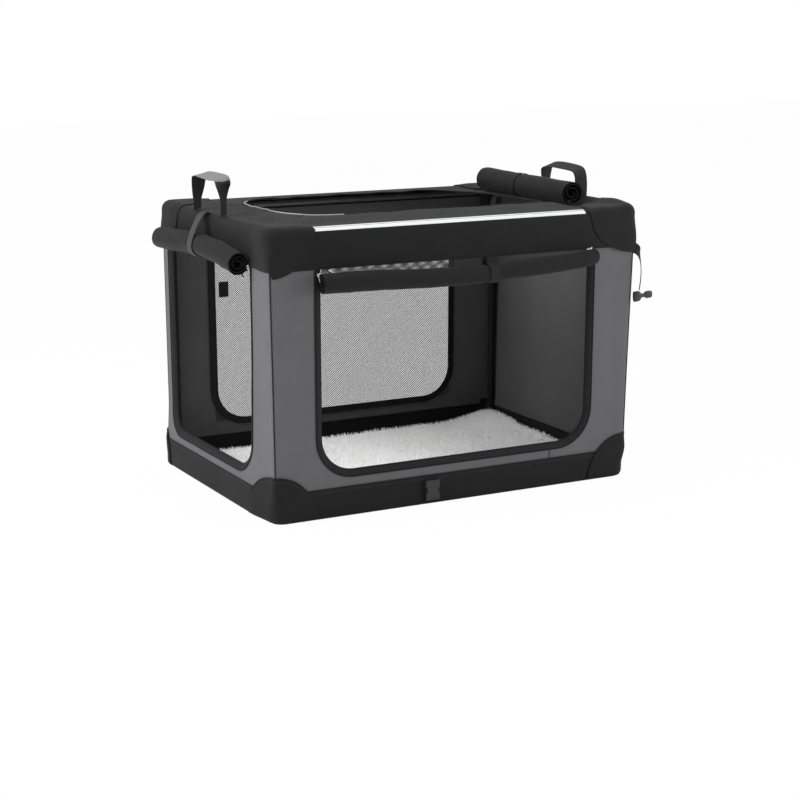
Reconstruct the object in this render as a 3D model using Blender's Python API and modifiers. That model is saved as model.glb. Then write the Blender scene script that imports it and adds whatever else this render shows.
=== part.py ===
"""Soft folding dog crate, erected: base tray, folding end hoops, long top rails and sewn covers.

Metres, +Z up. The origin is under the middle of the base, +X runs along the length and the large
front doorway faces -Y. The left end (with a doorway) is at -X, the plain right end at +X.
"""

import math

import bmesh
import bpy
from mathutils import Matrix, Vector

# Overall size, over the sewn corner patches
LENGTH = 0.910
WIDTH = 0.630
HEIGHT = 0.630
CORNER_RADIUS = 0.030
TOP_EDGE_RADIUS = 0.020
BOTTOM_EDGE_RADIUS = 0.010

# Clearances
SEAM_GAP = 0.0003
SEAT_GAP = 0.0005
CUT_OVERRUN = 0.020
BORE_PLAY = 0.0003

# Sewn cover, from the outside in: corner patches, then bands and tray, then walls
PATCH_THICKNESS = 0.0016
BAND_THICKNESS = 0.0020
WALL_THICKNESS = 0.0020
MESH_THICKNESS = 0.0012
TRAY_HEIGHT = 0.068
BAND_DROP = 0.085
WALL_TOP_DROP = 0.030
TOP_PATCH_REACH = 0.118
TOP_PATCH_DROP = 0.098
BASE_PATCH_REACH = 0.107
BACK_PATCH_END_REACH = 0.040
BASE_PATCH_RISE = 0.098

BAND_OFFSET = PATCH_THICKNESS + SEAM_GAP
BAND_INNER = BAND_OFFSET + BAND_THICKNESS
WALL_OFFSET = BAND_INNER + SEAM_GAP
WALL_INNER = WALL_OFFSET + WALL_THICKNESS
BAND_BOTTOM_Z = HEIGHT - BAND_DROP
WALL_BOTTOM_Z = TRAY_HEIGHT + SEAT_GAP
WALL_TOP_Z = HEIGHT - WALL_TOP_DROP

# Doorways and window: half widths, sills, heads and corner radii
TRIM_WIDTH = 0.016
FRONT_DOOR_SIDE = 0.103
FRONT_DOOR_HALF = LENGTH / 2 - FRONT_DOOR_SIDE
FRONT_DOOR_SILL_Z = 0.094
LEFT_DOOR_SIDE = 0.074
LEFT_DOOR_HALF = WIDTH / 2 - LEFT_DOOR_SIDE
LEFT_DOOR_SHIFT = 0.033
LEFT_DOOR_SILL_Z = 0.086
DOOR_HEAD_CLEAR = 0.005
DOOR_SILL_RADIUS = 0.090
LEFT_DOOR_SILL_RADIUS = 0.066
DOOR_HEAD_RADIUS = 0.022
BACK_WINDOW_SIDE = 0.116
BACK_WINDOW_HALF = LENGTH / 2 - BACK_WINDOW_SIDE
BACK_WINDOW_SILL_Z = 0.079
BACK_WINDOW_HEAD_Z = 0.505
BACK_WINDOW_RADIUS = 0.090
TOP_BORDER_X = 0.125
TOP_BORDER_Y = 0.135
TOP_OPENING_RADIUS = 0.100
DOOR_HEAD_Z = BAND_BOTTOM_Z - DOOR_HEAD_CLEAR

# Steel tube frame
TUBE_RADIUS = 0.008
TUBE_WALL = 0.001
SIDE_SLEEVE_PLAY = 0.0013
TOP_SLEEVE_PLAY = 0.0031
HOOP_BEND_RADIUS = 0.035
RAIL_END_SETBACK = 0.029
BASE_TUBE_INSET = 0.0066
PLATE_THICKNESS = 0.003
PLATE_LENGTH = 0.040
PLATE_HEIGHT = 0.048
PLATE_TOP_REACH = 0.0055
PLATE_END_REACH = 0.0045

HOOP_X = LENGTH / 2 - WALL_INNER - SIDE_SLEEVE_PLAY - TUBE_RADIUS
RAIL_Y = WIDTH / 2 - WALL_INNER - SIDE_SLEEVE_PLAY - TUBE_RADIUS
FRAME_TOP_Z = HEIGHT - BAND_INNER - TOP_SLEEVE_PLAY - TUBE_RADIUS
PLATE_OUTER_Y = RAIL_Y - TUBE_RADIUS - SEAT_GAP
PLATE_INNER_Y = PLATE_OUTER_Y - PLATE_THICKNESS
POST_Y = PLATE_INNER_Y - SEAT_GAP - TUBE_RADIUS
RAIL_HALF_LENGTH = LENGTH / 2 - RAIL_END_SETBACK
BASE_TUBE_Z = BAND_THICKNESS + SEAM_GAP + TUBE_RADIUS
TRAY_INNER_X = LENGTH / 2 - BAND_INNER
TRAY_INNER_Y = WIDTH / 2 - BAND_INNER
LONG_TUBE_Y = TRAY_INNER_Y - BASE_TUBE_INSET - TUBE_RADIUS
SIDE_TUBE_X = TRAY_INNER_X - BASE_TUBE_INSET - TUBE_RADIUS

# Hinges: the right end folds down first, the left end folds over it
LEFT_HINGE_Z = 0.060
RIGHT_HINGE_Z = 0.036
PIN_RADIUS = 0.003
EAR_RADIUS = 0.0105
INNER_EAR_THICKNESS = 0.008
KNUCKLE_RADIUS = 0.0085
FOOT_NECK = 0.012
SPIGOT_LENGTH = 0.025
BRACKET_REACH_X = 0.0545
BRACKET_REACH_Y = 0.0520
BRACKET_TOP_Z = 0.0235
BRACKET_WEB = 0.0085
LONG_TUBE_END = SIDE_TUBE_X - TUBE_RADIUS - BRACKET_WEB
SIDE_TUBE_END = LONG_TUBE_Y - TUBE_RADIUS - BRACKET_WEB

# Mat
MAT_END_PLAY = 0.0065
MAT_SIDE_PLAY = 0.0345
MAT_HALF_X = SIDE_TUBE_X - TUBE_RADIUS - MAT_END_PLAY
MAT_HALF_Y = LONG_TUBE_Y - TUBE_RADIUS - MAT_SIDE_PLAY
MAT_THICKNESS = 0.032
MAT_CROWN = 0.004
MAT_DRAW_IN = 0.005

# Rolled doors: radius, bore, cloth and half length
ROLL_RADIUS = 0.0245
FRONT_ROLL_RADIUS = 0.0195
ROLL_BORE_RADIUS = 0.0065
ROLL_CLOTH = 0.0030
ROLL_TURNS = 3.0
LEFT_ROLL_DROP = 0.075
LEFT_ROLL_END_DRAW = 0.016
LEFT_ROLL_HALF = LEFT_DOOR_HALF - LEFT_ROLL_END_DRAW
LEFT_ROLL_SHIFT = 0.016
FRONT_ROLL_END_DRAW = 0.007
FRONT_ROLL_HALF = FRONT_DOOR_HALF - FRONT_ROLL_END_DRAW
FRONT_ROLL_DROP = 0.010
TOP_ROLL_HALF = 0.205
TOP_ROLL_SETBACK = 0.078
TOP_ROLL_SHIFT = 0.033
ROLL_STRAP_WIDTH = 0.025
ROLL_STRAP_THICKNESS = 0.0015
ROLL_STRAP_PLAY = 0.0008
ROLL_STRAP_REACH = 0.052
TOP_STRAP_Y = 0.050
FRONT_STRAP_X = 0.067

# Handles of flat webbing, whose legs twist a quarter turn between grip and feet
WEBBING_THICKNESS = 0.0022
HANDLE_WIDTH = 0.030
HANDLE_HEIGHT = 0.086
HANDLE_FOOT_HALF = 0.076
HANDLE_GRIP_HALF = 0.101
HANDLE_SETBACK = 0.017
HANDLE_SHIFT = 0.043
# A leg, from its foot up: height, way out from foot to grip, and quarter turn of the webbing
HANDLE_LEG_SHARES = (
    (0.00, 0.00, 0.00),
    (0.16, 0.14, 0.10),
    (0.34, 0.42, 0.36),
    (0.54, 0.76, 0.68),
    (0.74, 0.96, 0.92),
    (0.86, 1.00, 1.00),
)
# Half of the grip, from its corner to the middle: height and half width
HANDLE_GRIP_SHARES = ((0.94, 0.96), (0.985, 0.86), (1.0, 0.66), (1.0, 0.30))

# Closing strap and its side-release buckle
STRAP_WIDTH = 0.022
STRAP_THICKNESS = 0.0016
STRAP_ANGLE = 35.0
STRAP_DROP = 0.103
STRAP_BULGE = 0.020
STRAP_BULGE_SHARES = (0.0, 0.38, 0.72, 0.93, 1.0, 0.95)
CLIP_LENGTH = 0.044
CLIP_WIDTH = 0.026
CLIP_THICKNESS = 0.009
CLIP_BASE_LENGTH = 0.018
CLIP_PRONG_WIDTH = 0.005
CLIP_HANG_SHARE = 0.33
SOCKET_X = -0.0715
SOCKET_Z = 0.035
SOCKET_WIDTH = 0.034
SOCKET_HEIGHT = 0.046
SOCKET_DEPTH = 0.010
SOCKET_MOUTH_WIDTH = 0.020
SOCKET_MOUTH_DEPTH = 0.0054
SOCKET_MOUTH_LENGTH = 0.030
SOCKET_WAIST = 0.0035
SOCKET_WAIST_RADIUS = 0.009

# Storage pocket on the right end, and the reflective strip on the front
POCKET_HALF = 0.190
POCKET_LOW_Z = 0.160
POCKET_HIGH_Z = 0.400
POCKET_DEPTH = 0.009
POCKET_CLOTH = 0.002
POCKET_CORNER_RADIUS = 0.020
FLAP_OVERLAP = 0.070
FLAP_RISE = 0.020
FLAP_THICKNESS = 0.002
FLAP_SIDE_OVERLAP = 0.005
STRIP_HEIGHT = 0.009
STRIP_THICKNESS = 0.0006
STRIP_END_GAP = 0.001
STRIP_HALF = LENGTH / 2 - TOP_PATCH_REACH - STRIP_END_GAP

# Facet counts
VERTICAL_SEGMENTS = 5
EDGE_SEGMENTS = 3
ARC_SEGMENTS = 6
BEND_SEGMENTS = 6
PATCH_RINGS = 14
PATCH_SIDES = 28
PIN_SIDES = 20
ROLL_SEGMENTS = 14
TUBE_BEVEL_RESOLUTION = 2
MAT_CUTS = 4

# Colours: base colour, roughness, metallic value
BLACK_CLOTH = ((0.024, 0.024, 0.026), 0.85, 0.0)
GREY_CLOTH = ((0.093, 0.095, 0.102), 0.85, 0.0)
BLACK_MESH = ((0.060, 0.060, 0.060), 0.80, 0.0)
BLACK_WEBBING = ((0.020, 0.020, 0.021), 0.75, 0.0)
SILVER_TAPE = ((0.750, 0.760, 0.770), 0.35, 0.0)
WHITE_FLEECE = ((0.780, 0.780, 0.760), 0.95, 0.0)
STEEL = ((0.420, 0.420, 0.430), 0.40, 1.0)
PLASTIC = ((0.018, 0.018, 0.020), 0.45, 0.0)

SIDES = {"left": -1, "right": 1}
DEPTHS = {"front": -1, "back": 1}


def clear_scene():
    for item in list(bpy.data.objects):
        bpy.data.objects.remove(item, do_unlink=True)


def collection(name):
    made = bpy.data.collections.new(name)
    bpy.context.scene.collection.children.link(made)
    return made


def finished(item, parts, finish):
    """Puts a piece among the parts with a material of its own."""
    colour, roughness, metallic = finish
    material = bpy.data.materials.new(item.name)
    material.use_nodes = True
    shader = material.node_tree.nodes["Principled BSDF"]
    shader.inputs["Base Color"].default_value = (*colour, 1.0)
    shader.inputs["Roughness"].default_value = roughness
    shader.inputs["Metallic"].default_value = metallic
    item.data.materials.clear()
    item.data.materials.append(material)
    for owner in list(item.users_collection):
        owner.objects.unlink(item)
    parts.objects.link(item)
    item.data.shade_smooth()
    item.data.set_sharp_from_angle(angle=math.radians(35))
    return item


def as_cutter(item, cutters):
    for owner in list(item.users_collection):
        owner.objects.unlink(item)
    cutters.objects.link(item)
    item.hide_render = True
    item.display_type = "WIRE"
    return item


def mesh_object(name, bm):
    mesh = bpy.data.meshes.new(name)
    bm.to_mesh(mesh)
    bm.free()
    item = bpy.data.objects.new(name, mesh)
    bpy.context.scene.collection.objects.link(item)
    return item


def combine(item, cutter, operation):
    modifier = item.modifiers.new(operation.lower(), "BOOLEAN")
    modifier.operation = operation
    modifier.object = cutter
    modifier.solver = "EXACT"
    return item


def curve_to_mesh(item):
    """A curve's evaluated surface as a mesh object in the curve's place, with its caps welded."""
    bpy.context.view_layer.update()
    evaluated = item.evaluated_get(bpy.context.evaluated_depsgraph_get())
    mesh = bpy.data.meshes.new_from_object(evaluated)
    name = item.name
    place = item.matrix_world.copy()
    bpy.data.objects.remove(item, do_unlink=True)
    bm = bmesh.new()
    bm.from_mesh(mesh)
    bmesh.ops.remove_doubles(bm, verts=bm.verts, dist=SEAM_GAP / 10)
    bm.to_mesh(mesh)
    bm.free()
    mesh.name = name
    made = bpy.data.objects.new(name, mesh)
    made.matrix_world = place
    bpy.context.scene.collection.objects.link(made)
    return made


def box(name, low, high, edge_radius=0.0):
    """A box between two corners given in any order, with all its edges rounded when asked."""
    low, high = Vector(low), Vector(high)
    size = Vector(abs(b - a) for a, b in zip(low, high))
    bm = bmesh.new()
    bmesh.ops.create_cube(bm, size=1.0, matrix=Matrix.Diagonal((*size, 1.0)))
    item = mesh_object(name, bm)
    item.location = (low + high) / 2
    if edge_radius:
        modifier = item.modifiers.new("edges", "BEVEL")
        modifier.width = edge_radius
        modifier.segments = EDGE_SEGMENTS
    return item


def round_bar(name, start, end, radius, sides):
    """A solid cylinder from one point to another."""
    start, end = Vector(start), Vector(end)
    run = end - start
    bm = bmesh.new()
    bmesh.ops.create_cone(
        bm, cap_ends=True, segments=sides, radius1=radius, radius2=radius, depth=run.length
    )
    item = mesh_object(name, bm)
    item.rotation_mode = "QUATERNION"
    item.rotation_quaternion = Vector((0, 0, 1)).rotation_difference(run)
    item.location = (start + end) / 2
    return item


def tube(name, points, parts):
    """A hollow steel tube along a path: the curve's open skin, thickened inwards."""
    curve = bpy.data.curves.new(name, "CURVE")
    curve.dimensions = "3D"
    curve.bevel_depth = TUBE_RADIUS
    curve.bevel_resolution = TUBE_BEVEL_RESOLUTION
    curve.use_fill_caps = False
    spline = curve.splines.new("POLY")
    spline.points.add(len(points) - 1)
    for place, point in zip(spline.points, points):
        place.co = (*point, 1.0)
    item = bpy.data.objects.new(name, curve)
    bpy.context.scene.collection.objects.link(item)
    item = curve_to_mesh(item)
    wall = item.modifiers.new("wall", "SOLIDIFY")
    wall.thickness = TUBE_WALL
    wall.offset = -1.0
    return finished(item, parts, STEEL)


def arc(centre, radius, start_deg, end_deg, segments):
    """Points on a circle in a plane, both ends included."""
    angles = [
        math.radians(start_deg + (end_deg - start_deg) * i / segments)
        for i in range(segments + 1)
    ]
    return [(centre[0] + radius * math.cos(a), centre[1] + radius * math.sin(a)) for a in angles]


def rounded_outline(low, high, low_radius, high_radius):
    """A rectangle with one radius on its two lower corners and another on its two upper ones."""
    corners = (
        ((high[0] - low_radius, low[1] + low_radius), low_radius, -90),
        ((high[0] - high_radius, high[1] - high_radius), high_radius, 0),
        ((low[0] + high_radius, high[1] - high_radius), high_radius, 90),
        ((low[0] + low_radius, low[1] + low_radius), low_radius, 180),
    )
    points = []
    for centre, radius, start in corners:
        points += arc(centre, radius, start, start + 90, ARC_SEGMENTS)
    return points


def inset_outline(low, high, low_radius, high_radius, inset):
    return rounded_outline(
        (low[0] + inset, low[1] + inset),
        (high[0] - inset, high[1] - inset),
        low_radius - inset,
        max(high_radius - inset, SEAT_GAP),
    )


def slab(name, loops, thickness, place):
    """Flat outlines, the first one solid and the others holes, extruded evenly about their plane."""
    curve = bpy.data.curves.new(name, "CURVE")
    curve.dimensions = "2D"
    curve.fill_mode = "BOTH"
    curve.extrude = thickness / 2
    for loop in loops:
        spline = curve.splines.new("POLY")
        spline.points.add(len(loop) - 1)
        for point, (u, v) in zip(spline.points, loop):
            point.co = (u, v, 0.0, 1.0)
        spline.use_cyclic_u = True
    item = bpy.data.objects.new(name, curve)
    bpy.context.scene.collection.objects.link(item)
    item.matrix_world = place
    return curve_to_mesh(item)


def facing_y(depth):
    """Places a flat outline upright across Y, its own Y pointing up."""
    return Matrix.Translation((0, depth, 0)) @ Matrix.Rotation(math.radians(90), 4, "X")


def facing_x(depth):
    """Places a flat outline upright across X, its own X along +Y and its own Y up."""
    turn = Matrix(((0, 0, 1, 0), (1, 0, 0, 0), (0, 1, 0, 0), (0, 0, 0, 1)))
    return Matrix.Translation((depth, 0, 0)) @ turn


def cover_block(name, offset, low_z, high_z, round_top, round_bottom):
    """The crate's outer form drawn in by an offset: a box with rounded corners and rounded rims."""
    bm = bmesh.new()
    size = (LENGTH - 2 * offset, WIDTH - 2 * offset, high_z - low_z)
    place = Matrix.Translation((0, 0, (low_z + high_z) / 2)) @ Matrix.Diagonal((*size, 1.0))
    bmesh.ops.create_cube(bm, size=1.0, matrix=place)
    upright = [e for e in bm.edges if abs(e.verts[0].co.z - e.verts[1].co.z) > SEAM_GAP]
    bmesh.ops.bevel(
        bm,
        geom=upright,
        offset=CORNER_RADIUS - offset,
        offset_type="OFFSET",
        segments=VERTICAL_SEGMENTS,
        profile=0.5,
        affect="EDGES",
    )
    for wanted, height, radius in (
        (round_top, high_z, TOP_EDGE_RADIUS - offset),
        (round_bottom, low_z, BOTTOM_EDGE_RADIUS - offset),
    ):
        if wanted:
            rim = [e for e in bm.edges if all(abs(v.co.z - height) < SEAM_GAP for v in e.verts)]
            bmesh.ops.bevel(
                bm,
                geom=rim,
                offset=radius,
                offset_type="OFFSET",
                segments=EDGE_SEGMENTS,
                profile=0.5,
                affect="EDGES",
            )
    return mesh_object(name, bm)


def ellipsoid(name, centre, reaches):
    """A ball stretched to a reach along each axis."""
    bm = bmesh.new()
    bmesh.ops.create_uvsphere(
        bm,
        u_segments=PATCH_SIDES,
        v_segments=PATCH_RINGS,
        radius=1.0,
        matrix=Matrix.Diagonal((*reaches, 1.0)),
    )
    item = mesh_object(name, bm)
    item.location = centre
    return item


def corner_patch(name, side, depth, top, shells, parts, cutters):
    """A dome-shaped patch over one corner: the outer skin of the crate cut by an ellipsoid."""
    height, reach, rise = (
        (HEIGHT, TOP_PATCH_REACH, TOP_PATCH_DROP) if top else (0.0, BASE_PATCH_REACH, BASE_PATCH_RISE)
    )
    end_reach = reach if top or depth < 0 else BACK_PATCH_END_REACH
    centre = (side * LENGTH / 2, depth * WIDTH / 2, height)
    dome = as_cutter(ellipsoid(name + "_dome", centre, (reach, end_reach, rise)), cutters)
    low_z = HEIGHT / 2 if top else 0.0
    high_z = HEIGHT if top else HEIGHT / 2
    patch = cover_block(name, 0.0, low_z, high_z, top, not top)
    combine(patch, shells["patch_hollow_top" if top else "patch_hollow_base"], "DIFFERENCE")
    combine(patch, dome, "INTERSECT")
    return finished(patch, parts, BLACK_CLOTH)


def make_hollows(cutters):
    """The inner forms that turn the solid cover blocks into skins."""
    over = CUT_OVERRUN
    return {
        "patch_hollow_top": as_cutter(
            cover_block("patch_hollow_top", PATCH_THICKNESS, -over, HEIGHT - PATCH_THICKNESS, True, False),
            cutters,
        ),
        "patch_hollow_base": as_cutter(
            cover_block("patch_hollow_base", PATCH_THICKNESS, -over, HEIGHT, False, False), cutters
        ),
        "band_hollow": as_cutter(
            cover_block("band_hollow", BAND_INNER, -over, HEIGHT - BAND_INNER, True, False), cutters
        ),
        "tray_hollow": as_cutter(
            cover_block("tray_hollow", BAND_INNER, BAND_THICKNESS, HEIGHT, False, True), cutters
        ),
        "wall_hollow": as_cutter(
            cover_block("wall_hollow", WALL_INNER, -over, HEIGHT + over, False, False), cutters
        ),
    }


def base_tray(hollows, parts):
    tray = cover_block("base_tray", BAND_OFFSET, 0.0, TRAY_HEIGHT, False, True)
    combine(tray, hollows["tray_hollow"], "DIFFERENCE")
    return finished(tray, parts, BLACK_CLOTH)


def straight_tube(name, axis, half, across, height, parts):
    if axis == "X":
        points = [(-half, across, height), (half, across, height)]
    else:
        points = [(across, -half, height), (across, half, height)]
    return tube(name, points, parts)


def base_tubes(parts):
    made = []
    for name, depth in DEPTHS.items():
        made.append(
            straight_tube(
                f"base_{name}_tube", "X", LONG_TUBE_END, depth * LONG_TUBE_Y, BASE_TUBE_Z, parts
            )
        )
    for name, side in SIDES.items():
        made.append(
            straight_tube(
                f"base_{name}_tube", "Y", SIDE_TUBE_END, side * SIDE_TUBE_X, BASE_TUBE_Z, parts
            )
        )
    return made


def hinge_height(side):
    return LEFT_HINGE_Z if side < 0 else RIGHT_HINGE_Z


def inner_ear_faces():
    outer = POST_Y - TUBE_RADIUS - SEAT_GAP
    return outer - INNER_EAR_THICKNESS, outer


def corner_bracket(name, side, depth, parts, cutters):
    """A moulded corner: sockets for two base tubes and two ears for the end hoop's hinge pin."""
    hinge_z = hinge_height(side)
    low = (side * (TRAY_INNER_X - BRACKET_REACH_X), depth * (TRAY_INNER_Y - BRACKET_REACH_Y), 0.0)
    high = (side * LENGTH / 2, depth * WIDTH / 2, BRACKET_TOP_Z)
    bracket = box(name, low, high)
    fit = cover_block(
        name + "_fit",
        BAND_INNER + SEAT_GAP,
        BAND_THICKNESS + SEAM_GAP,
        HEIGHT / 2,
        False,
        True,
    )
    combine(bracket, as_cutter(fit, cutters), "INTERSECT")
    for ear, (inner, outer) in enumerate((inner_ear_faces(), (PLATE_INNER_Y, PLATE_OUTER_Y))):
        low = (side * HOOP_X - EAR_RADIUS, depth * inner, BASE_TUBE_Z)
        high = (side * HOOP_X + EAR_RADIUS, depth * outer, hinge_z)
        upright = box(f"{name}_ear_{ear}", low, high)
        combine(bracket, as_cutter(upright, cutters), "UNION")
        eye = round_bar(
            f"{name}_eye_{ear}",
            (side * HOOP_X, depth * inner, hinge_z),
            (side * HOOP_X, depth * outer, hinge_z),
            EAR_RADIUS,
            PIN_SIDES,
        )
        combine(bracket, as_cutter(eye, cutters), "UNION")
    holes = {
        "pin": (
            (side * HOOP_X, depth * (inner_ear_faces()[0] - CUT_OVERRUN), hinge_z),
            (side * HOOP_X, depth * (PLATE_OUTER_Y + CUT_OVERRUN), hinge_z),
            PIN_RADIUS + BORE_PLAY,
        ),
        "long": (
            (side * (LONG_TUBE_END + SEAT_GAP), depth * LONG_TUBE_Y, BASE_TUBE_Z),
            (side * (TRAY_INNER_X - BRACKET_REACH_X - CUT_OVERRUN), depth * LONG_TUBE_Y, BASE_TUBE_Z),
            TUBE_RADIUS + BORE_PLAY,
        ),
        "side": (
            (side * SIDE_TUBE_X, depth * (SIDE_TUBE_END + SEAT_GAP), BASE_TUBE_Z),
            (side * SIDE_TUBE_X, depth * (TRAY_INNER_Y - BRACKET_REACH_Y - CUT_OVERRUN), BASE_TUBE_Z),
            TUBE_RADIUS + BORE_PLAY,
        ),
    }
    for hole, (start, end, radius) in holes.items():
        cutter = as_cutter(round_bar(f"{name}_{hole}_hole", start, end, radius, PIN_SIDES), cutters)
        combine(bracket, cutter, "DIFFERENCE")
    return finished(bracket, parts, PLASTIC)


def hinge_pin(name, side, depth, parts):
    z = hinge_height(side)
    start = (side * HOOP_X, depth * (inner_ear_faces()[0] + SEAM_GAP), z)
    end = (side * HOOP_X, depth * (PLATE_OUTER_Y - SEAM_GAP), z)
    return finished(round_bar(name, start, end, PIN_RADIUS, PIN_SIDES), parts, STEEL)


def end_hoop(name, side, parts):
    """One bent tube: two posts and a crossbar."""
    foot_z = hinge_height(side) + FOOT_NECK
    centre_y = POST_Y - HOOP_BEND_RADIUS
    centre_z = FRAME_TOP_Z - HOOP_BEND_RADIUS
    front = arc((-centre_y, centre_z), HOOP_BEND_RADIUS, 180, 90, BEND_SEGMENTS)
    back = arc((centre_y, centre_z), HOOP_BEND_RADIUS, 90, 0, BEND_SEGMENTS)
    path = [(-POST_Y, foot_z)] + front + back + [(POST_Y, foot_z)]
    return tube(name, [(side * HOOP_X, y, z) for y, z in path], parts)


def hoop_foot(name, side, depth, parts, cutters):
    """A moulded foot: a knuckle on the hinge pin and a spigot up into the post."""
    hinge_z = hinge_height(side)
    x = side * HOOP_X
    y = depth * POST_Y
    foot = round_bar(
        name,
        (x, y - TUBE_RADIUS, hinge_z),
        (x, y + TUBE_RADIUS, hinge_z),
        KNUCKLE_RADIUS,
        PIN_SIDES,
    )
    neck = box(
        name + "_neck",
        (x - TUBE_RADIUS, y - TUBE_RADIUS, hinge_z),
        (x + TUBE_RADIUS, y + TUBE_RADIUS, hinge_z + FOOT_NECK - SEAM_GAP),
    )
    spigot = round_bar(
        name + "_spigot",
        (x, y, hinge_z),
        (x, y, hinge_z + FOOT_NECK + SPIGOT_LENGTH),
        TUBE_RADIUS - TUBE_WALL - 2 * BORE_PLAY,
        PIN_SIDES,
    )
    for piece in (neck, spigot):
        combine(foot, as_cutter(piece, cutters), "UNION")
    hole = round_bar(
        name + "_hole",
        (x, y - TUBE_RADIUS - CUT_OVERRUN, hinge_z),
        (x, y + TUBE_RADIUS + CUT_OVERRUN, hinge_z),
        PIN_RADIUS + BORE_PLAY,
        PIN_SIDES,
    )
    combine(foot, as_cutter(hole, cutters), "DIFFERENCE")
    return finished(foot, parts, PLASTIC)


def rail_plate(name, side, depth, parts):
    """A flat plate on the outside of a post, against which the long rail's end rests."""
    outer_x = HOOP_X + PLATE_END_REACH
    top_z = FRAME_TOP_Z + PLATE_TOP_REACH
    low = (side * (outer_x - PLATE_LENGTH), depth * PLATE_INNER_Y, top_z - PLATE_HEIGHT)
    high = (side * outer_x, depth * PLATE_OUTER_Y, top_z)
    return finished(box(name, low, high, PLATE_THICKNESS / 4), parts, PLASTIC)


def wall_ring(name):
    return cover_block(name, WALL_OFFSET, WALL_BOTTOM_Z, WALL_TOP_Z, False, False)


def door_cutter(name, half, sill_z, head_z, sill_radius, place, cutters):
    loop = rounded_outline((-half, sill_z), (half, head_z), sill_radius, DOOR_HEAD_RADIUS)
    return as_cutter(slab(name, [loop], CUT_OVERRUN * 2, place), cutters)


def ring_trim(name, half, sill_z, head_z, sill_radius, place, parts):
    """The flat zip tape round a doorway or window, lying in the plane of its wall."""
    low, high = (-half, sill_z), (half, head_z)
    outer = inset_outline(low, high, sill_radius, DOOR_HEAD_RADIUS, SEAM_GAP)
    inner = inset_outline(low, high, sill_radius, DOOR_HEAD_RADIUS, TRIM_WIDTH)
    return finished(slab(name, [outer, inner], WALL_THICKNESS, place), parts, BLACK_CLOTH)


def long_wall(name, depth, hollows, door, parts, cutters):
    """A front or back wall, wrapped round both corners as far as the end walls."""
    wall = wall_ring(name)
    combine(wall, hollows["wall_hollow"], "DIFFERENCE")
    reach = box(
        name + "_reach",
        (-LENGTH, depth * (PLATE_OUTER_Y + SEAM_GAP), -CUT_OVERRUN),
        (LENGTH, depth * WIDTH, HEIGHT),
    )
    combine(wall, as_cutter(reach, cutters), "INTERSECT")
    combine(wall, door, "DIFFERENCE")
    return finished(wall, parts, GREY_CLOTH)


def end_wall(name, side, hollows, door, parts, cutters):
    wall = wall_ring(name)
    combine(wall, hollows["wall_hollow"], "DIFFERENCE")
    reach = box(
        name + "_reach",
        (side * HOOP_X, -PLATE_OUTER_Y, -CUT_OVERRUN),
        (side * LENGTH, PLATE_OUTER_Y, HEIGHT),
    )
    combine(wall, as_cutter(reach, cutters), "INTERSECT")
    if door:
        combine(wall, door, "DIFFERENCE")
    return finished(wall, parts, GREY_CLOTH)


def band_prism(name, side, depth, cutters):
    """The plan region of one top band: a trapezium whose ends are mitred at the crate's corners."""
    over = CUT_OVERRUN
    run = max(TOP_BORDER_X, TOP_BORDER_Y) + TOP_OPENING_RADIUS / 2
    gap = SEAM_GAP
    if depth:
        outline = [
            (-LENGTH / 2 - over + gap, -WIDTH / 2 - over),
            (LENGTH / 2 + over - gap, -WIDTH / 2 - over),
            (LENGTH / 2 - run - gap, -WIDTH / 2 + run),
            (-LENGTH / 2 + run + gap, -WIDTH / 2 + run),
        ]
        outline = [(x, -depth * y) for x, y in outline]
    else:
        outline = [
            (-LENGTH / 2 - over, -WIDTH / 2 - over + gap),
            (-LENGTH / 2 + run, -WIDTH / 2 + run + gap),
            (-LENGTH / 2 + run, WIDTH / 2 - run - gap),
            (-LENGTH / 2 - over, WIDTH / 2 + over - gap),
        ]
        outline = [(-side * x, y) for x, y in outline]
    middle = (BAND_BOTTOM_Z + HEIGHT + CUT_OVERRUN) / 2
    tall = HEIGHT + CUT_OVERRUN - BAND_BOTTOM_Z
    prism = slab(name + "_plan", [outline], tall, Matrix.Translation((0, 0, middle)))
    return as_cutter(prism, cutters)


def top_band(name, side, depth, hollows, opening, parts, cutters):
    """A black band: its upright face, the rounded edge and the border of the top opening."""
    band = cover_block(name, BAND_OFFSET, HEIGHT / 2, HEIGHT - BAND_OFFSET, True, False)
    combine(band, hollows["band_hollow"], "DIFFERENCE")
    combine(band, band_prism(name, side, depth, cutters), "INTERSECT")
    combine(band, opening, "DIFFERENCE")
    return finished(band, parts, BLACK_CLOTH)


def fleece_mat(parts):
    """A thin pad with a crowned top and sides drawn in between its corners."""
    bm = bmesh.new()
    bmesh.ops.create_cube(bm, size=2.0)
    bmesh.ops.subdivide_edges(bm, edges=bm.edges, cuts=MAT_CUTS, use_grid_fill=True)
    low_z = BAND_THICKNESS + SEAM_GAP
    for vert in bm.verts:
        u, v, w = vert.co
        x = u * (MAT_HALF_X - MAT_DRAW_IN * (1 - v * v) * abs(u))
        y = v * (MAT_HALF_Y - MAT_DRAW_IN * (1 - u * u) * abs(v))
        z = low_z + MAT_THICKNESS * (w + 1) / 2
        if w > 0:
            z += MAT_CROWN * (1 - u * u) * (1 - v * v) * w
        vert.co = (x, y, z)
    item = mesh_object("fleece_mat", bm)
    smooth = item.modifiers.new("soft", "SUBSURF")
    smooth.levels = 1
    smooth.render_levels = 1
    return finished(item, parts, WHITE_FLEECE)


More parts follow.
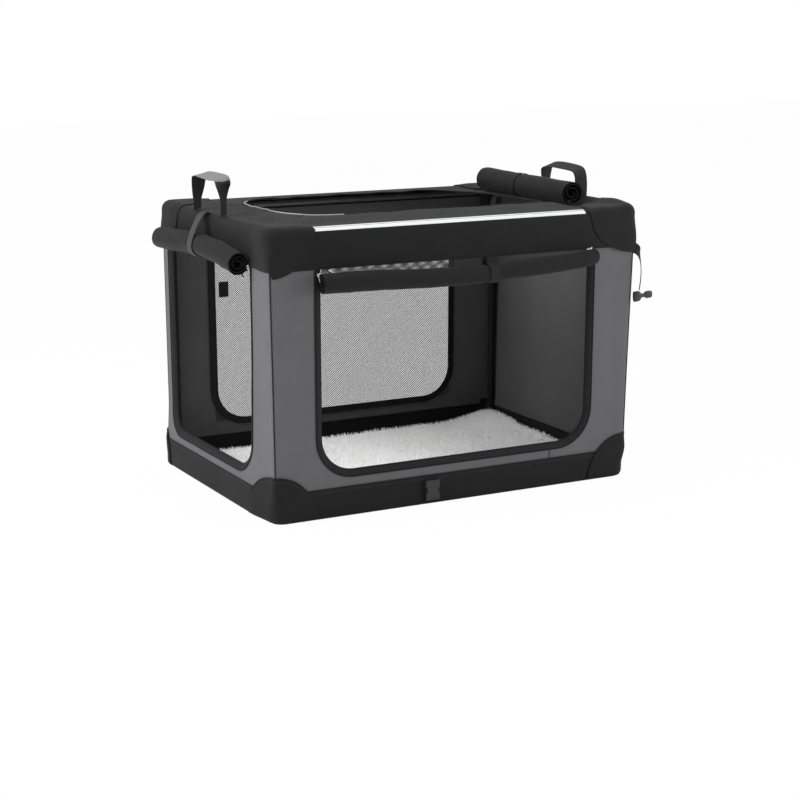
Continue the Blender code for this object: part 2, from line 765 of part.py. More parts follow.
def spiral_outline(outer, bore, cloth, turns):
    """The end view of a rolled cloth: a flat spiral strip from the outer radius to the bore."""
    count = int(turns * ROLL_SEGMENTS)
    outside, inside = [], []
    for i in range(count + 1):
        angle = 2 * math.pi * turns * i / count
        middle = outer - cloth / 2 - (outer - bore - cloth) * i / count
        outside.append(((middle + cloth / 2) * math.cos(angle), (middle + cloth / 2) * math.sin(angle)))
        inside.append(((middle - cloth / 2) * math.cos(angle), (middle - cloth / 2) * math.sin(angle)))
    return outside + inside[::-1]


def door_roll(name, radius, half, place, parts):
    outline = spiral_outline(radius, ROLL_BORE_RADIUS, ROLL_CLOTH, ROLL_TURNS)
    return finished(slab(name, [outline], 2 * half, place), parts, BLACK_CLOTH)


def ribbon(name, path, widths, thickness, parts, finish):
    """A flat strap: a strip along a path with a half width vector at each point, then thickened."""
    bm = bmesh.new()
    rows = [
        (bm.verts.new(Vector(p) - Vector(w)), bm.verts.new(Vector(p) + Vector(w)))
        for p, w in zip(path, widths)
    ]
    for (a, b), (c, d) in zip(rows, rows[1:]):
        bm.faces.new((a, b, d, c))
    item = mesh_object(name, bm)
    wall = item.modifiers.new("webbing", "SOLIDIFY")
    wall.thickness = thickness
    wall.offset = 0.0
    wall.use_even_offset = True
    return finished(item, parts, finish)


def left_roll_centre():
    """Like the top roll, it lies over a corner patch at its far end, so it is clear of the band."""
    return -(LENGTH / 2 + SEAT_GAP + ROLL_RADIUS), HEIGHT - LEFT_ROLL_DROP


def top_roll_centre():
    return LENGTH / 2 - TOP_ROLL_SETBACK, HEIGHT + SEAT_GAP + ROLL_RADIUS


def front_roll_centre():
    y = WIDTH / 2 - WALL_OFFSET + SEAT_GAP + FRONT_ROLL_RADIUS
    return -y, BAND_BOTTOM_Z - FRONT_ROLL_DROP - FRONT_ROLL_RADIUS


def roll_strap(name, radius, reach, standoff, place, parts):
    """A strap round a roll along local Y, sewn at local +X to the cloth a standoff behind it."""
    middle = radius + ROLL_STRAP_PLAY + ROLL_STRAP_THICKNESS / 2
    behind = radius - ROLL_STRAP_THICKNESS / 2
    start = math.degrees(math.acos(behind / middle))
    around = arc((0, 0), middle, start, 360 - start, 2 * ARC_SEGMENTS)
    path = [(behind + standoff, reach)] + around
    points = [(u, 0, v) for u, v in path]
    half = (0, ROLL_STRAP_WIDTH / 2, 0)
    strap = ribbon(name, points, [half] * len(points), ROLL_STRAP_THICKNESS, parts, BLACK_WEBBING)
    strap.matrix_world = place
    return strap


def handle_axis(side):
    height = HEIGHT - BAND_OFFSET + SEAT_GAP + WEBBING_THICKNESS / 2
    return side * (LENGTH / 2 - HANDLE_SETBACK), height


def handle_middle(side):
    return -side * HANDLE_SHIFT


def carry_handle(name, side, parts):
    """A webbing loop that stands up from the end's top edge and flares towards its grip."""
    x, axis_z = handle_axis(side)
    foot_z = axis_z - WEBBING_THICKNESS / 2
    flare = HANDLE_GRIP_HALF - HANDLE_FOOT_HALF
    half = HANDLE_WIDTH / 2
    leg = []
    for rise, out, turn in HANDLE_LEG_SHARES:
        angle = math.radians(90) * turn
        spread = HANDLE_FOOT_HALF + flare * out
        leg.append((spread, foot_z + HANDLE_HEIGHT * rise, half * math.sin(angle), half * math.cos(angle)))
    for rise, reach in HANDLE_GRIP_SHARES:
        leg.append((HANDLE_GRIP_HALF * reach, foot_z + HANDLE_HEIGHT * rise, half, 0.0))
    path, widths = [], []
    for sign, run in ((-1, leg), (1, leg[::-1])):
        for spread, height, across, along in run:
            path.append((x, handle_middle(side) + sign * spread, height))
            widths.append((across, sign * along, 0.0))
    return ribbon(name, path, widths, WEBBING_THICKNESS, parts, BLACK_WEBBING)


def strap_place():
    """Where the closing strap is sewn to the front right corner, its X pointing straight out."""
    turn = Matrix.Rotation(math.radians(-STRAP_ANGLE), 4, "Z")
    out = turn @ Vector((CORNER_RADIUS + SEAM_GAP + STRAP_THICKNESS / 2, 0, BAND_BOTTOM_Z))
    corner = Vector((LENGTH / 2 - CORNER_RADIUS, -(WIDTH / 2 - CORNER_RADIUS), 0))
    return Matrix.Translation(corner + out) @ turn


def moved(item, place):
    item.matrix_world = place @ item.matrix_basis
    return item


def closing_strap(parts):
    count = len(STRAP_BULGE_SHARES) - 1
    path = [
        (STRAP_BULGE * share, 0, -STRAP_DROP * i / count)
        for i, share in enumerate(STRAP_BULGE_SHARES)
    ]
    widths = [(0, STRAP_WIDTH / 2, 0)] * len(path)
    strap = ribbon("closing_strap", path, widths, STRAP_THICKNESS, parts, BLACK_WEBBING)
    return moved(strap, strap_place())


def buckle_clip(parts, cutters):
    """The male half of a side-release buckle: a base with two outer prongs and a guide."""
    low = STRAP_BULGE * STRAP_BULGE_SHARES[-1] - CLIP_LENGTH * CLIP_HANG_SHARE
    top = -STRAP_DROP - SEAT_GAP
    place = strap_place()
    base = box(
        "buckle_clip",
        (low, -CLIP_WIDTH / 2, top - CLIP_THICKNESS),
        (low + CLIP_BASE_LENGTH, CLIP_WIDTH / 2, top),
        CLIP_THICKNESS / 6,
    )
    slim = CLIP_THICKNESS / 5
    outermost = CLIP_WIDTH / 2 - CLIP_PRONG_WIDTH / 2
    for number, spot in enumerate((-outermost, 0.0, outermost)):
        prong = box(
            f"clip_prong_{number}",
            (low + CLIP_BASE_LENGTH / 2, spot - CLIP_PRONG_WIDTH / 2, top - CLIP_THICKNESS + slim),
            (low + CLIP_LENGTH, spot + CLIP_PRONG_WIDTH / 2, top - slim),
        )
        combine(base, as_cutter(moved(prong, place), cutters), "UNION")
    return finished(moved(base, place), parts, PLASTIC)


def buckle_socket(parts, cutters):
    """The female half of the buckle: a waisted shell with its mouth at the top."""
    back_y = -(WIDTH / 2 - BAND_OFFSET + SEAM_GAP)
    middle_y = back_y - SOCKET_DEPTH / 2
    low_z = SOCKET_Z - SOCKET_HEIGHT / 2
    high_z = SOCKET_Z + SOCKET_HEIGHT / 2
    shell = box(
        "buckle_socket",
        (SOCKET_X - SOCKET_WIDTH / 2, back_y - SOCKET_DEPTH, low_z),
        (SOCKET_X + SOCKET_WIDTH / 2, back_y, high_z),
        SOCKET_DEPTH / 6,
    )
    mouth = box(
        "socket_mouth",
        (SOCKET_X - SOCKET_MOUTH_WIDTH / 2, middle_y - SOCKET_MOUTH_DEPTH / 2, high_z + CUT_OVERRUN),
        (
            SOCKET_X + SOCKET_MOUTH_WIDTH / 2,
            middle_y + SOCKET_MOUTH_DEPTH / 2,
            high_z - SOCKET_MOUTH_LENGTH,
        ),
    )
    combine(shell, as_cutter(mouth, cutters), "DIFFERENCE")
    for sign in (-1, 1):
        waist_x = SOCKET_X + sign * (SOCKET_WIDTH / 2 + SOCKET_WAIST_RADIUS - SOCKET_WAIST)
        waist = round_bar(
            f"socket_waist_{sign}",
            (waist_x, back_y + CUT_OVERRUN, SOCKET_Z),
            (waist_x, back_y - SOCKET_DEPTH - CUT_OVERRUN, SOCKET_Z),
            SOCKET_WAIST_RADIUS,
            PIN_SIDES,
        )
        combine(shell, as_cutter(waist, cutters), "DIFFERENCE")
    return finished(shell, parts, PLASTIC)


def right_pocket(parts, cutters):
    """A flat gusseted pocket, open at its top and against the wall at its back."""
    wall_x = LENGTH / 2 - WALL_OFFSET + SEAM_GAP
    low = (-POCKET_HALF, POCKET_LOW_Z)
    high = (POCKET_HALF, POCKET_HIGH_Z)
    outline = rounded_outline(low, high, POCKET_CORNER_RADIUS, POCKET_DEPTH)
    pocket = slab("right_pocket", [outline], POCKET_DEPTH, facing_x(wall_x + POCKET_DEPTH / 2))
    inside = rounded_outline(
        (low[0] + POCKET_CLOTH, low[1] + POCKET_CLOTH),
        (high[0] - POCKET_CLOTH, high[1] + CUT_OVERRUN),
        POCKET_CORNER_RADIUS - POCKET_CLOTH,
        POCKET_DEPTH,
    )
    hollow = slab(
        "pocket_inside",
        [inside],
        2 * (POCKET_DEPTH - POCKET_CLOTH),
        facing_x(wall_x),
    )
    combine(pocket, as_cutter(hollow, cutters), "DIFFERENCE")
    return finished(pocket, parts, GREY_CLOTH)


def flap_axis():
    return LENGTH / 2 - WALL_OFFSET + SEAM_GAP + FLAP_THICKNESS / 2, POCKET_HIGH_Z + FLAP_RISE


def pocket_flap(parts, cutters):
    """The pocket's flap: a panel over its mouth, with a lip back to the seam on the wall."""
    axis_x, axis_z = flap_axis()
    half = POCKET_HALF + FLAP_SIDE_OVERLAP
    inner_x = LENGTH / 2 - WALL_OFFSET + SEAM_GAP + POCKET_DEPTH + SEAT_GAP
    outline = rounded_outline(
        (-half, POCKET_HIGH_Z - FLAP_OVERLAP),
        (half, axis_z + FLAP_THICKNESS / 2),
        POCKET_CORNER_RADIUS,
        FLAP_THICKNESS,
    )
    flap = slab("pocket_flap", [outline], FLAP_THICKNESS, facing_x(inner_x + FLAP_THICKNESS / 2))
    lip = box(
        "flap_lip",
        (axis_x, -half + FLAP_THICKNESS, axis_z - FLAP_THICKNESS / 2),
        (inner_x + FLAP_THICKNESS / 2, half - FLAP_THICKNESS, axis_z + FLAP_THICKNESS / 2 - SEAM_GAP),
    )
    combine(flap, as_cutter(lip, cutters), "UNION")
    return finished(flap, parts, GREY_CLOTH)


def reflective_strip(parts):
    y = -(WIDTH / 2 - BAND_OFFSET + SEAM_GAP + STRIP_THICKNESS / 2)
    high_z = HEIGHT - TOP_EDGE_RADIUS
    low = (-STRIP_HALF, y - STRIP_THICKNESS / 2, high_z - STRIP_HEIGHT)
    high = (STRIP_HALF, y + STRIP_THICKNESS / 2, high_z)
    return finished(box("reflective_strip", low, high), parts, SILVER_TAPE)


def body_axis(name, place, pieces):
    """An empty on a body's joint axis that carries the body's pieces."""
    axis = bpy.data.objects.new(name + "_axis", None)
    axis.empty_display_type = "ARROWS"
    axis.empty_display_size = CORNER_RADIUS
    axis.location = place
    bpy.context.scene.collection.objects.link(axis)
    bpy.context.view_layer.update()
    for piece in pieces:
        piece.parent = axis
        piece.matrix_parent_inverse = axis.matrix_world.inverted()
    return axis


def build():
    clear_scene()
    parts = collection("folding_dog_crate")
    cutters = collection("cutters")
    hollows = make_hollows(cutters)

    front_wall_y = -(WIDTH / 2 - WALL_OFFSET - WALL_THICKNESS / 2)
    left_wall_x = -(LENGTH / 2 - WALL_OFFSET - WALL_THICKNESS / 2)
    front_door = (FRONT_DOOR_HALF, FRONT_DOOR_SILL_Z, DOOR_HEAD_Z, DOOR_SILL_RADIUS)
    left_door = (LEFT_DOOR_HALF, LEFT_DOOR_SILL_Z, DOOR_HEAD_Z, LEFT_DOOR_SILL_RADIUS)
    left_door_place = Matrix.Translation((0, LEFT_DOOR_SHIFT, 0)) @ facing_x(left_wall_x)
    back_window = (BACK_WINDOW_HALF, BACK_WINDOW_SILL_Z, BACK_WINDOW_HEAD_Z, BACK_WINDOW_RADIUS)
    top_opening = slab(
        "top_opening",
        [
            rounded_outline(
                (-LENGTH / 2 + TOP_BORDER_X, -WIDTH / 2 + TOP_BORDER_Y),
                (LENGTH / 2 - TOP_BORDER_X, WIDTH / 2 - TOP_BORDER_Y),
                TOP_OPENING_RADIUS,
                TOP_OPENING_RADIUS,
            )
        ],
        2 * CUT_OVERRUN,
        Matrix.Translation((0, 0, HEIGHT)),
    )
    as_cutter(top_opening, cutters)

    base_tray(hollows, parts)
    base_tubes(parts)
    for side_name, side in SIDES.items():
        for depth_name, depth in DEPTHS.items():
            corner = f"{depth_name}_{side_name}"
            corner_bracket(f"corner_bracket_{corner}", side, depth, parts, cutters)
            hinge_pin(f"hinge_pin_{corner}", side, depth, parts)
            corner_patch(f"base_patch_{corner}", side, depth, False, hollows, parts, cutters)
    fleece_mat(parts)
    buckle_socket(parts, cutters)
    long_wall(
        "front_wall",
        -1,
        hollows,
        door_cutter("front_doorway", *front_door, facing_y(front_wall_y), cutters),
        parts,
        cutters,
    )
    ring_trim("front_door_trim", *front_door, facing_y(front_wall_y), parts)
    long_wall(
        "back_wall",
        1,
        hollows,
        door_cutter("back_window", *back_window, facing_y(-front_wall_y), cutters),
        parts,
        cutters,
    )
    ring_trim("back_window_trim", *back_window, facing_y(-front_wall_y), parts)
    half, sill, head, radius = back_window
    net = inset_outline(
        (-half, sill), (half, head), radius, DOOR_HEAD_RADIUS, TRIM_WIDTH + SEAM_GAP
    )
    finished(
        slab("back_mesh", [net], MESH_THICKNESS, facing_y(-front_wall_y)), parts, BLACK_MESH
    )

    ends = {}
    for side_name, side in SIDES.items():
        end = [end_hoop(f"{side_name}_hoop", side, parts)]
        for depth_name, depth in DEPTHS.items():
            corner = f"{depth_name}_{side_name}"
            end.append(hoop_foot(f"hoop_foot_{corner}", side, depth, parts, cutters))
            end.append(rail_plate(f"rail_plate_{corner}", side, depth, parts))
            end.append(corner_patch(f"top_patch_{corner}", side, depth, True, hollows, parts, cutters))
        door = None
        if side < 0:
            door = door_cutter("left_doorway", *left_door, left_door_place, cutters)
        end.append(end_wall(f"{side_name}_wall", side, hollows, door, parts, cutters))
        end.append(top_band(f"{side_name}_top_band", side, 0, hollows, top_opening, parts, cutters))
        ends[side_name] = end
    ends["left"].append(ring_trim("left_door_trim", *left_door, left_door_place, parts))
    roll_x, roll_z = left_roll_centre()
    along_y = Matrix.Rotation(math.radians(90), 4, "X")
    place = Matrix.Translation((roll_x, LEFT_ROLL_SHIFT, roll_z)) @ along_y
    ends["left"].append(door_roll("left_door_roll", ROLL_RADIUS, LEFT_ROLL_HALF, place, parts))
    place = Matrix.Translation((roll_x, LEFT_ROLL_SHIFT, roll_z))
    over_patch = (ROLL_RADIUS, ROLL_STRAP_REACH, BAND_OFFSET)
    ends["left"].append(roll_strap("left_roll_strap", *over_patch, place, parts))
    roll_x, roll_z = top_roll_centre()
    place = Matrix.Translation((roll_x, TOP_ROLL_SHIFT, roll_z)) @ along_y
    ends["right"].append(door_roll("top_door_roll", ROLL_RADIUS, TOP_ROLL_HALF, place, parts))
    turn = Matrix.Rotation(math.radians(90), 4, "Y")
    place = Matrix.Translation((roll_x, TOP_STRAP_Y, roll_z)) @ turn
    ends["right"].append(roll_strap("top_roll_strap", *over_patch, place, parts))
    ends["right"].append(right_pocket(parts, cutters))

    rails = {}
    for depth_name, depth in DEPTHS.items():
        rail = straight_tube(
            f"{depth_name}_rail", "X", RAIL_HALF_LENGTH, depth * RAIL_Y, FRAME_TOP_Z, parts
        )
        band = top_band(f"{depth_name}_top_band", 0, depth, hollows, top_opening, parts, cutters)
        rails[depth_name] = [rail, band]
    roll_y, roll_z = front_roll_centre()
    place = Matrix.Translation((0, roll_y, roll_z)) @ turn
    rails["front"].append(door_roll("front_door_roll", FRONT_ROLL_RADIUS, FRONT_ROLL_HALF, place, parts))
    place = Matrix.Translation((FRONT_STRAP_X, roll_y, roll_z)) @ Matrix.Rotation(math.radians(90), 4, "Z")
    reach = FRONT_ROLL_RADIUS + FRONT_ROLL_DROP - SEAT_GAP
    strap = roll_strap("front_roll_strap", FRONT_ROLL_RADIUS, reach, 0.0, place, parts)
    rails["front"].append(strap)
    rails["front"].append(reflective_strip(parts))

    for side_name, side in SIDES.items():
        body_axis(f"{side_name}_end", (side * HOOP_X, 0, hinge_height(side)), ends[side_name])
        x, z = handle_axis(side)
        handle = carry_handle(f"{side_name}_handle", side, parts)
        body_axis(f"{side_name}_handle", (x, handle_middle(side), z), [handle])
    for depth_name, depth in DEPTHS.items():
        body_axis(f"{depth_name}_rail", (0, depth * RAIL_Y, FRAME_TOP_Z), rails[depth_name])
    sewn = strap_place().translation
    body_axis("closing_strap", sewn, [closing_strap(parts), buckle_clip(parts, cutters)])
    x, z = flap_axis()
    body_axis("pocket_flap", (x, 0, z), [pocket_flap(parts, cutters)])


build()
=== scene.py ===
"""Looks of a soft-sided folding dog crate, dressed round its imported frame.

Metres, +Z up. The large doorway faces -Y, the end doorway faces -X and the plain end +X. Every cloth
piece is a surface worked out with numpy from the crate's own outer form, a box with rounded corners.
"""
from __future__ import annotations

import logging
import math
from dataclasses import dataclass
from enum import Enum

import bmesh
import bpy
import numpy as np
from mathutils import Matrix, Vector


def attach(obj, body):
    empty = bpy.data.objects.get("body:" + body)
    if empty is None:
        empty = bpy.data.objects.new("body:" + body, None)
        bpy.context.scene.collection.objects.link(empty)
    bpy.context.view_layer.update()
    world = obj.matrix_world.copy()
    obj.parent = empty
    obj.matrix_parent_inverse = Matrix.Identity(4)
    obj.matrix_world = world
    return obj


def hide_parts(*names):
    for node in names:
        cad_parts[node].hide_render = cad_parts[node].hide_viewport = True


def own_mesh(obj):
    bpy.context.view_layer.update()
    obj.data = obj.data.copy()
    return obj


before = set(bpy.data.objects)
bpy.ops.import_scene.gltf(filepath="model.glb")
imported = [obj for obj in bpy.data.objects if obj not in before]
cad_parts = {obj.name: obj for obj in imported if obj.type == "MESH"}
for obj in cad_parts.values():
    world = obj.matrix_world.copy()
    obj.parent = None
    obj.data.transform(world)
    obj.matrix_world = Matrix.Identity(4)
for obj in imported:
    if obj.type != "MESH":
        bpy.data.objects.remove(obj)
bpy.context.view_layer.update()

LOG = logging.getLogger("folding_crate")
SEED = 7
MM = 0.001
STITCH_PITCH = 4.5 * MM
THREAD_HALF_WIDTH = 0.40 * MM
THREAD_RISE = 0.35 * MM
WHITE = (1.0, 1.0, 1.0, 1.0)


class Slot(Enum):
    """The record's material slots."""

    BLACK_CLOTH = "black_cloth"
    GREY_CLOTH = "grey_cloth"
    BLACK_MESH = "black_mesh"
    BLACK_WEBBING = "black_webbing"
    SILVER_TAPE = "silver_tape"
    WHITE_FLEECE = "white_fleece"
    STEEL = "steel"
    PLASTIC = "plastic"


class Body(Enum):
    """The rigid bodies that pieces ride on."""

    BASE = "base"
    LEFT_END = "left_end"
    RIGHT_END = "right_end"
    LEFT_HANDLE = "left_carry_handle"
    RIGHT_HANDLE = "right_carry_handle"
    CLOSING_STRAP = "closing_strap_and_clip"
    FLAP = "flap"
    FRONT_RAIL = "front_rail_assembly"
    BACK_RAIL = "back_rail_assembly"


class Side(Enum):
    """One upright side of the crate: its run to the right seen from outside, and its outward way."""

    FRONT = ((1.0, 0.0), (0.0, -1.0))
    RIGHT = ((0.0, 1.0), (1.0, 0.0))
    BACK = ((-1.0, 0.0), (0.0, 1.0))
    LEFT = ((0.0, -1.0), (-1.0, 0.0))

    @property
    def run(self) -> np.ndarray:
        """The unit vector along the side, to the right seen from outside."""
        return np.array(self.value[0])

    @property
    def out(self) -> np.ndarray:
        """The unit vector out of the side."""
        return np.array(self.value[1])

    @property
    def is_end(self) -> bool:
        """Whether this is one of the two short sides."""
        return self.value[1][0] != 0.0


# Shader graphs


class Number:
    """A number socket whose operators add Math nodes."""

    def __init__(self, graph: "Graph", socket: bpy.types.NodeSocket) -> None:
        """Keeps the graph that the socket belongs to.

        Args:
            graph: the graph that gets the Math nodes.
            socket: the output socket that carries the number.
        """
        self.graph = graph
        self.socket = socket

    def math(self, operation: str, other: "Number | float | None" = None, swap: bool = False) -> "Number":
        """Adds one Math node.

        Args:
            operation: the node's operation.
            other: the second operand, if the operation takes one.
            swap: whether the other operand comes first.

        Returns:
            The node's result.
        """
        values = [self, other][:: -1 if swap else 1] if other is not None else [self]
        node = self.graph.node("ShaderNodeMath", {"operation": operation}, dict(enumerate(values)))
        return Number(self.graph, node.outputs[0])

    def __add__(self, other: "Number | float") -> "Number":
        """Adds a number."""
        return self.math("ADD", other)

    __radd__ = __add__

    def __mul__(self, other: "Number | float") -> "Number":
        """Multiplies by a number."""
        return self.math("MULTIPLY", other)

    __rmul__ = __mul__

    def __sub__(self, other: "Number | float") -> "Number":
        """Takes a number away."""
        return self.math("SUBTRACT", other)

    def __rsub__(self, other: "Number | float") -> "Number":
        """Takes this number away from another."""
        return self.math("SUBTRACT", other, swap=True)

    def wave(self) -> "Number":
        """The sine of this number."""
        return self.math("SINE")

    def above(self, edge: float) -> "Number":
        """One where this number is over an edge, and zero elsewhere."""
        return self.math("GREATER_THAN", edge)

    def at_least(self, other: "Number | float") -> "Number":
        """The larger of two numbers."""
        return self.math("MAXIMUM", other)


class Graph:
    """A material's node tree with one Principled shader."""

    def __init__(self, name: str) -> None:
        """Makes the material.

        Args:
            name: the material's name.
        """
        self.material = bpy.data.materials.new(name)
        self.material.use_nodes = True
        self.tree = self.material.node_tree
        self.shader = self.tree.nodes["Principled BSDF"]

    def node(self, kind: str, settings: dict | None = None, sockets: dict | None = None) -> bpy.types.Node:
        """Adds a node.

        Args:
            kind: the node's type.
            settings: properties that are set first; "stops" holds a ramp's (place, colour) pairs.
            sockets: values or links by input name or number.

        Returns:
            The node.
        """
        made = self.tree.nodes.new(kind)
        for key, value in (settings or {}).items():
            if key == "stops":
                while len(made.color_ramp.elements) < len(value):
                    made.color_ramp.elements.new(1.0)
                for element, (place, colour) in zip(made.color_ramp.elements, value):
                    element.position = place
                    element.color = (*colour, 1.0)
            else:
                setattr(made, key, value)
        for key, value in (sockets or {}).items():
            self.feed(made.inputs[key], value)
        return made

    def feed(self, socket: bpy.types.NodeSocket, value: object) -> None:
        """Links a socket, or sets its value.

        Args:
            socket: the input socket.
            value: a Number, an output socket, or a plain value.
        """
        if isinstance(value, Number):
            value = value.socket
        if isinstance(value, bpy.types.NodeSocket):
            self.tree.links.new(value, socket)
        else:
            socket.default_value = value

    def metres(self) -> tuple[Number, Number]:
        """The two coordinates of the piece's UV map, which is laid out in metres."""
        coordinates = self.node("ShaderNodeTexCoord")
        parts = self.node("ShaderNodeSeparateXYZ", sockets={0: coordinates.outputs["UV"]})
        return Number(self, parts.outputs[0]), Number(self, parts.outputs[1])

    def noise(self, scale: float, detail: float = 3.0) -> Number:
        """Noise on Object coordinates.

        Args:
            scale: how many features a metre holds.
            detail: the number of octaves.

        Returns:
            The noise, from 0 to 1.
        """
        place = self.node("ShaderNodeTexCoord").outputs["Object"]
        made = self.node("ShaderNodeTexNoise", sockets={"Vector": place, "Scale": scale, "Detail": detail})
        return Number(self, made.outputs["Fac"])

    def shade(self, colour: tuple, amount: Number, spread: float) -> None:
        """Feeds the base colour with a colour that gets darker and lighter.

        Args:
            colour: the middle colour.
            amount: what moves it, about 0.5 in the middle.
            spread: the share by which it moves either way.
        """
        low = tuple(c * (1 - spread) for c in colour)
        high = tuple(min(c * (1 + spread), 1.0) for c in colour)
        ramp = self.node("ShaderNodeValToRGB", {"stops": ((0.25, low), (0.75, high))}, {0: amount})
        self.feed(self.shader.inputs["Base Color"], ramp.outputs[0])

    def bump(self, height: Number, distance: float) -> None:
        """Feeds the shader's normal with a bump.

        Args:
            height: the height, in units of the distance.
            distance: what a height of one is, in metres.
        """
        made = self.node("ShaderNodeBump", sockets={"Height": height, "Distance": distance, "Strength": 1.0})
        self.feed(self.shader.inputs["Normal"], made.outputs[0])

    def finish(self, roughness: float | Number, **values: float | tuple) -> bpy.types.Material:
        """Sets the shader's constant sockets.

        Args:
            roughness: the roughness, or what feeds it.
            values: other sockets by name, with underscores for spaces.

        Returns:
            The material.
        """
        self.feed(self.shader.inputs["Roughness"], roughness)
        for key, value in values.items():
            self.shader.inputs[key.replace("_", " ")].default_value = value
        return self.material


@dataclass(frozen=True)
class WovenCloth:
    """Coated woven cloth: a plain weave, faint creases with painted shade in their hollows, and a slightly
    uneven dye.
    """

    name: str
    colour: tuple
    roughness: float = 0.72
    pitch: float = 0.9 * MM
    relief: float = 0.10 * MM
    spread: float = 0.10
    sheen: float = 0.05
    gloss: float = 0.22

    def build(self) -> bpy.types.Material:
        """Makes the material: warp and weft sines multiplied, over noise for creases and dye; the colour
        darkens in the creases' hollows as painted shade.
        """
        graph = Graph(self.name)
        across, along = graph.metres()
        turns = 2 * math.pi / self.pitch
        weave = (across * turns).wave() * (along * turns).wave()
        creases = graph.noise(16.0, 3.0)
        grain = graph.noise(420.0, 2.0)
        # the colour follows the crease relief, darker in its hollows: painted shade; the fine grain adds
        # uneven dye
        graph.shade(self.colour, creases * 0.6 + grain * 0.4, self.spread)
        graph.bump(weave * 0.5 + creases * 14.0 + grain * 0.8, self.relief)
        rough = creases * 0.16 + (self.roughness - 0.08)
        return graph.finish(
            rough, Sheen_Weight=self.sheen, Sheen_Roughness=0.5, Specular_IOR_Level=self.gloss
        )


@dataclass(frozen=True)
class NetCloth:
    """Open net: two sets of slanting threads with diamond holes between them."""

    name: str
    colour: tuple
    pitch: float = 3.6 * MM
    cover: float = 0.30

    def build(self) -> bpy.types.Material:
        """Makes the material: a thread lies where either slanting sine is near its crest."""
        graph = Graph(self.name)
        across, along = graph.metres()
        turns = 2 * math.pi / self.pitch
        first = ((across * 0.8 + along) * turns * 0.78).wave()
        second = ((across * 0.8 - along) * turns * 0.78).wave()
        crest = first.at_least(second)
        thread = crest.above(self.cover)
        graph.feed(graph.shader.inputs["Alpha"], thread)
        graph.shade(self.colour, graph.noise(300.0), 0.25)
        graph.bump(crest, 0.3 * MM)
        return graph.finish(0.7, Sheen_Weight=0.2)


@dataclass(frozen=True)
class Webbing:
    """Flat woven webbing: ribs across its run, with two thicker selvedges."""

    name: str
    colour: tuple
    pitch: float = 1.6 * MM
    roughness: float = 0.62
    sheen: float = 0.04

    def build(self) -> bpy.types.Material:
        """Makes the material: ribs from a sine along the run, staggered across it; the colour is a little
        darker in the ribs' grooves, as painted shade.
        """
        graph = Graph(self.name)
        across, along = graph.metres()
        turns = 2 * math.pi / self.pitch
        ribs = ((along + across.math("PINGPONG", 2 * self.pitch) * 0.5) * turns).wave()
        grain = graph.noise(500.0, 2.0)
        # the ribs darken the colour a little in their grooves: painted shade; the grain is uneven tone
        graph.shade(self.colour, ribs * 0.15 + grain * 0.7 + 0.15, 0.22)
        graph.bump(ribs * 0.5 + grain * 0.4, 0.25 * MM)
        return graph.finish(
            self.roughness, Sheen_Weight=self.sheen, Sheen_Roughness=0.4, Specular_IOR_Level=0.28
        )


@dataclass(frozen=True)
class Plush:
    """Long curly pile, nearly white, with painted shade that greys it a little in its hollows."""

    name: str
    colour: tuple

    def build(self) -> bpy.types.Material:
        """Makes the material: clumps from noise, with painted shade that darkens them slightly where the pile
        parts.
        """
        graph = Graph(self.name)
        clumps = graph.noise(70.0, 4.0)
        fine = graph.noise(700.0, 2.0)
        # the colour follows the clumps' relief, greyer in its hollows: painted shade
        graph.shade(self.colour, clumps * 0.7 + fine * 0.3, 0.08)
        graph.bump(clumps * 2.0 + fine, 0.6 * MM)
        return graph.finish(0.95, Sheen_Weight=0.6, Sheen_Roughness=0.7)


@dataclass(frozen=True)
class Moulded:
    """Moulded plastic or painted steel with a fine texture and slight handling marks."""

    name: str
    colour: tuple
    roughness: float = 0.45
    metallic: float = 0.0
    grain: float = 900.0

    def build(self) -> bpy.types.Material:
        """Makes the material: fine noise for the texture, broad noise for the marks."""
        graph = Graph(self.name)
        fine = graph.noise(self.grain, 3.0)
        marks = graph.noise(35.0, 4.0)
        graph.shade(self.colour, marks, 0.10)
        graph.bump(fine, 0.05 * MM)
        return graph.finish(marks * 0.2 + (self.roughness - 0.1), Metallic=self.metallic)


BLACK_OXFORD = WovenCloth("black_oxford", (0.0088, 0.0088, 0.0091))
GREY_OXFORD = WovenCloth("grey_oxford", (0.132, 0.132, 0.139), 0.62)
LINING = WovenCloth("dark_lining", (0.090, 0.090, 0.092), 0.80)
BINDING = WovenCloth("black_binding", (0.006, 0.006, 0.0065), 0.60, 1.2 * MM)
ZIP_TAPE = WovenCloth("zip_tape", (0.013, 0.013, 0.0135), 0.70, 0.8 * MM)
SILVER = WovenCloth("reflective_tape", (0.86, 0.87, 0.88), 0.38, 0.7 * MM, 0.04 * MM, 0.04)
PALE_PIPING = WovenCloth("pale_piping", (0.55, 0.55, 0.56), 0.5, 0.8 * MM, 0.05 * MM, 0.10)
NET = NetCloth("black_net", (0.020, 0.020, 0.020))
WEBBING = Webbing("black_webbing", (0.0085, 0.0085, 0.009))
HANDLE_WEBBING = Webbing("handle_webbing", (0.014, 0.014, 0.0145))
STRAP_WEBBING = Webbing("dark_grey_webbing", (0.052, 0.052, 0.054))
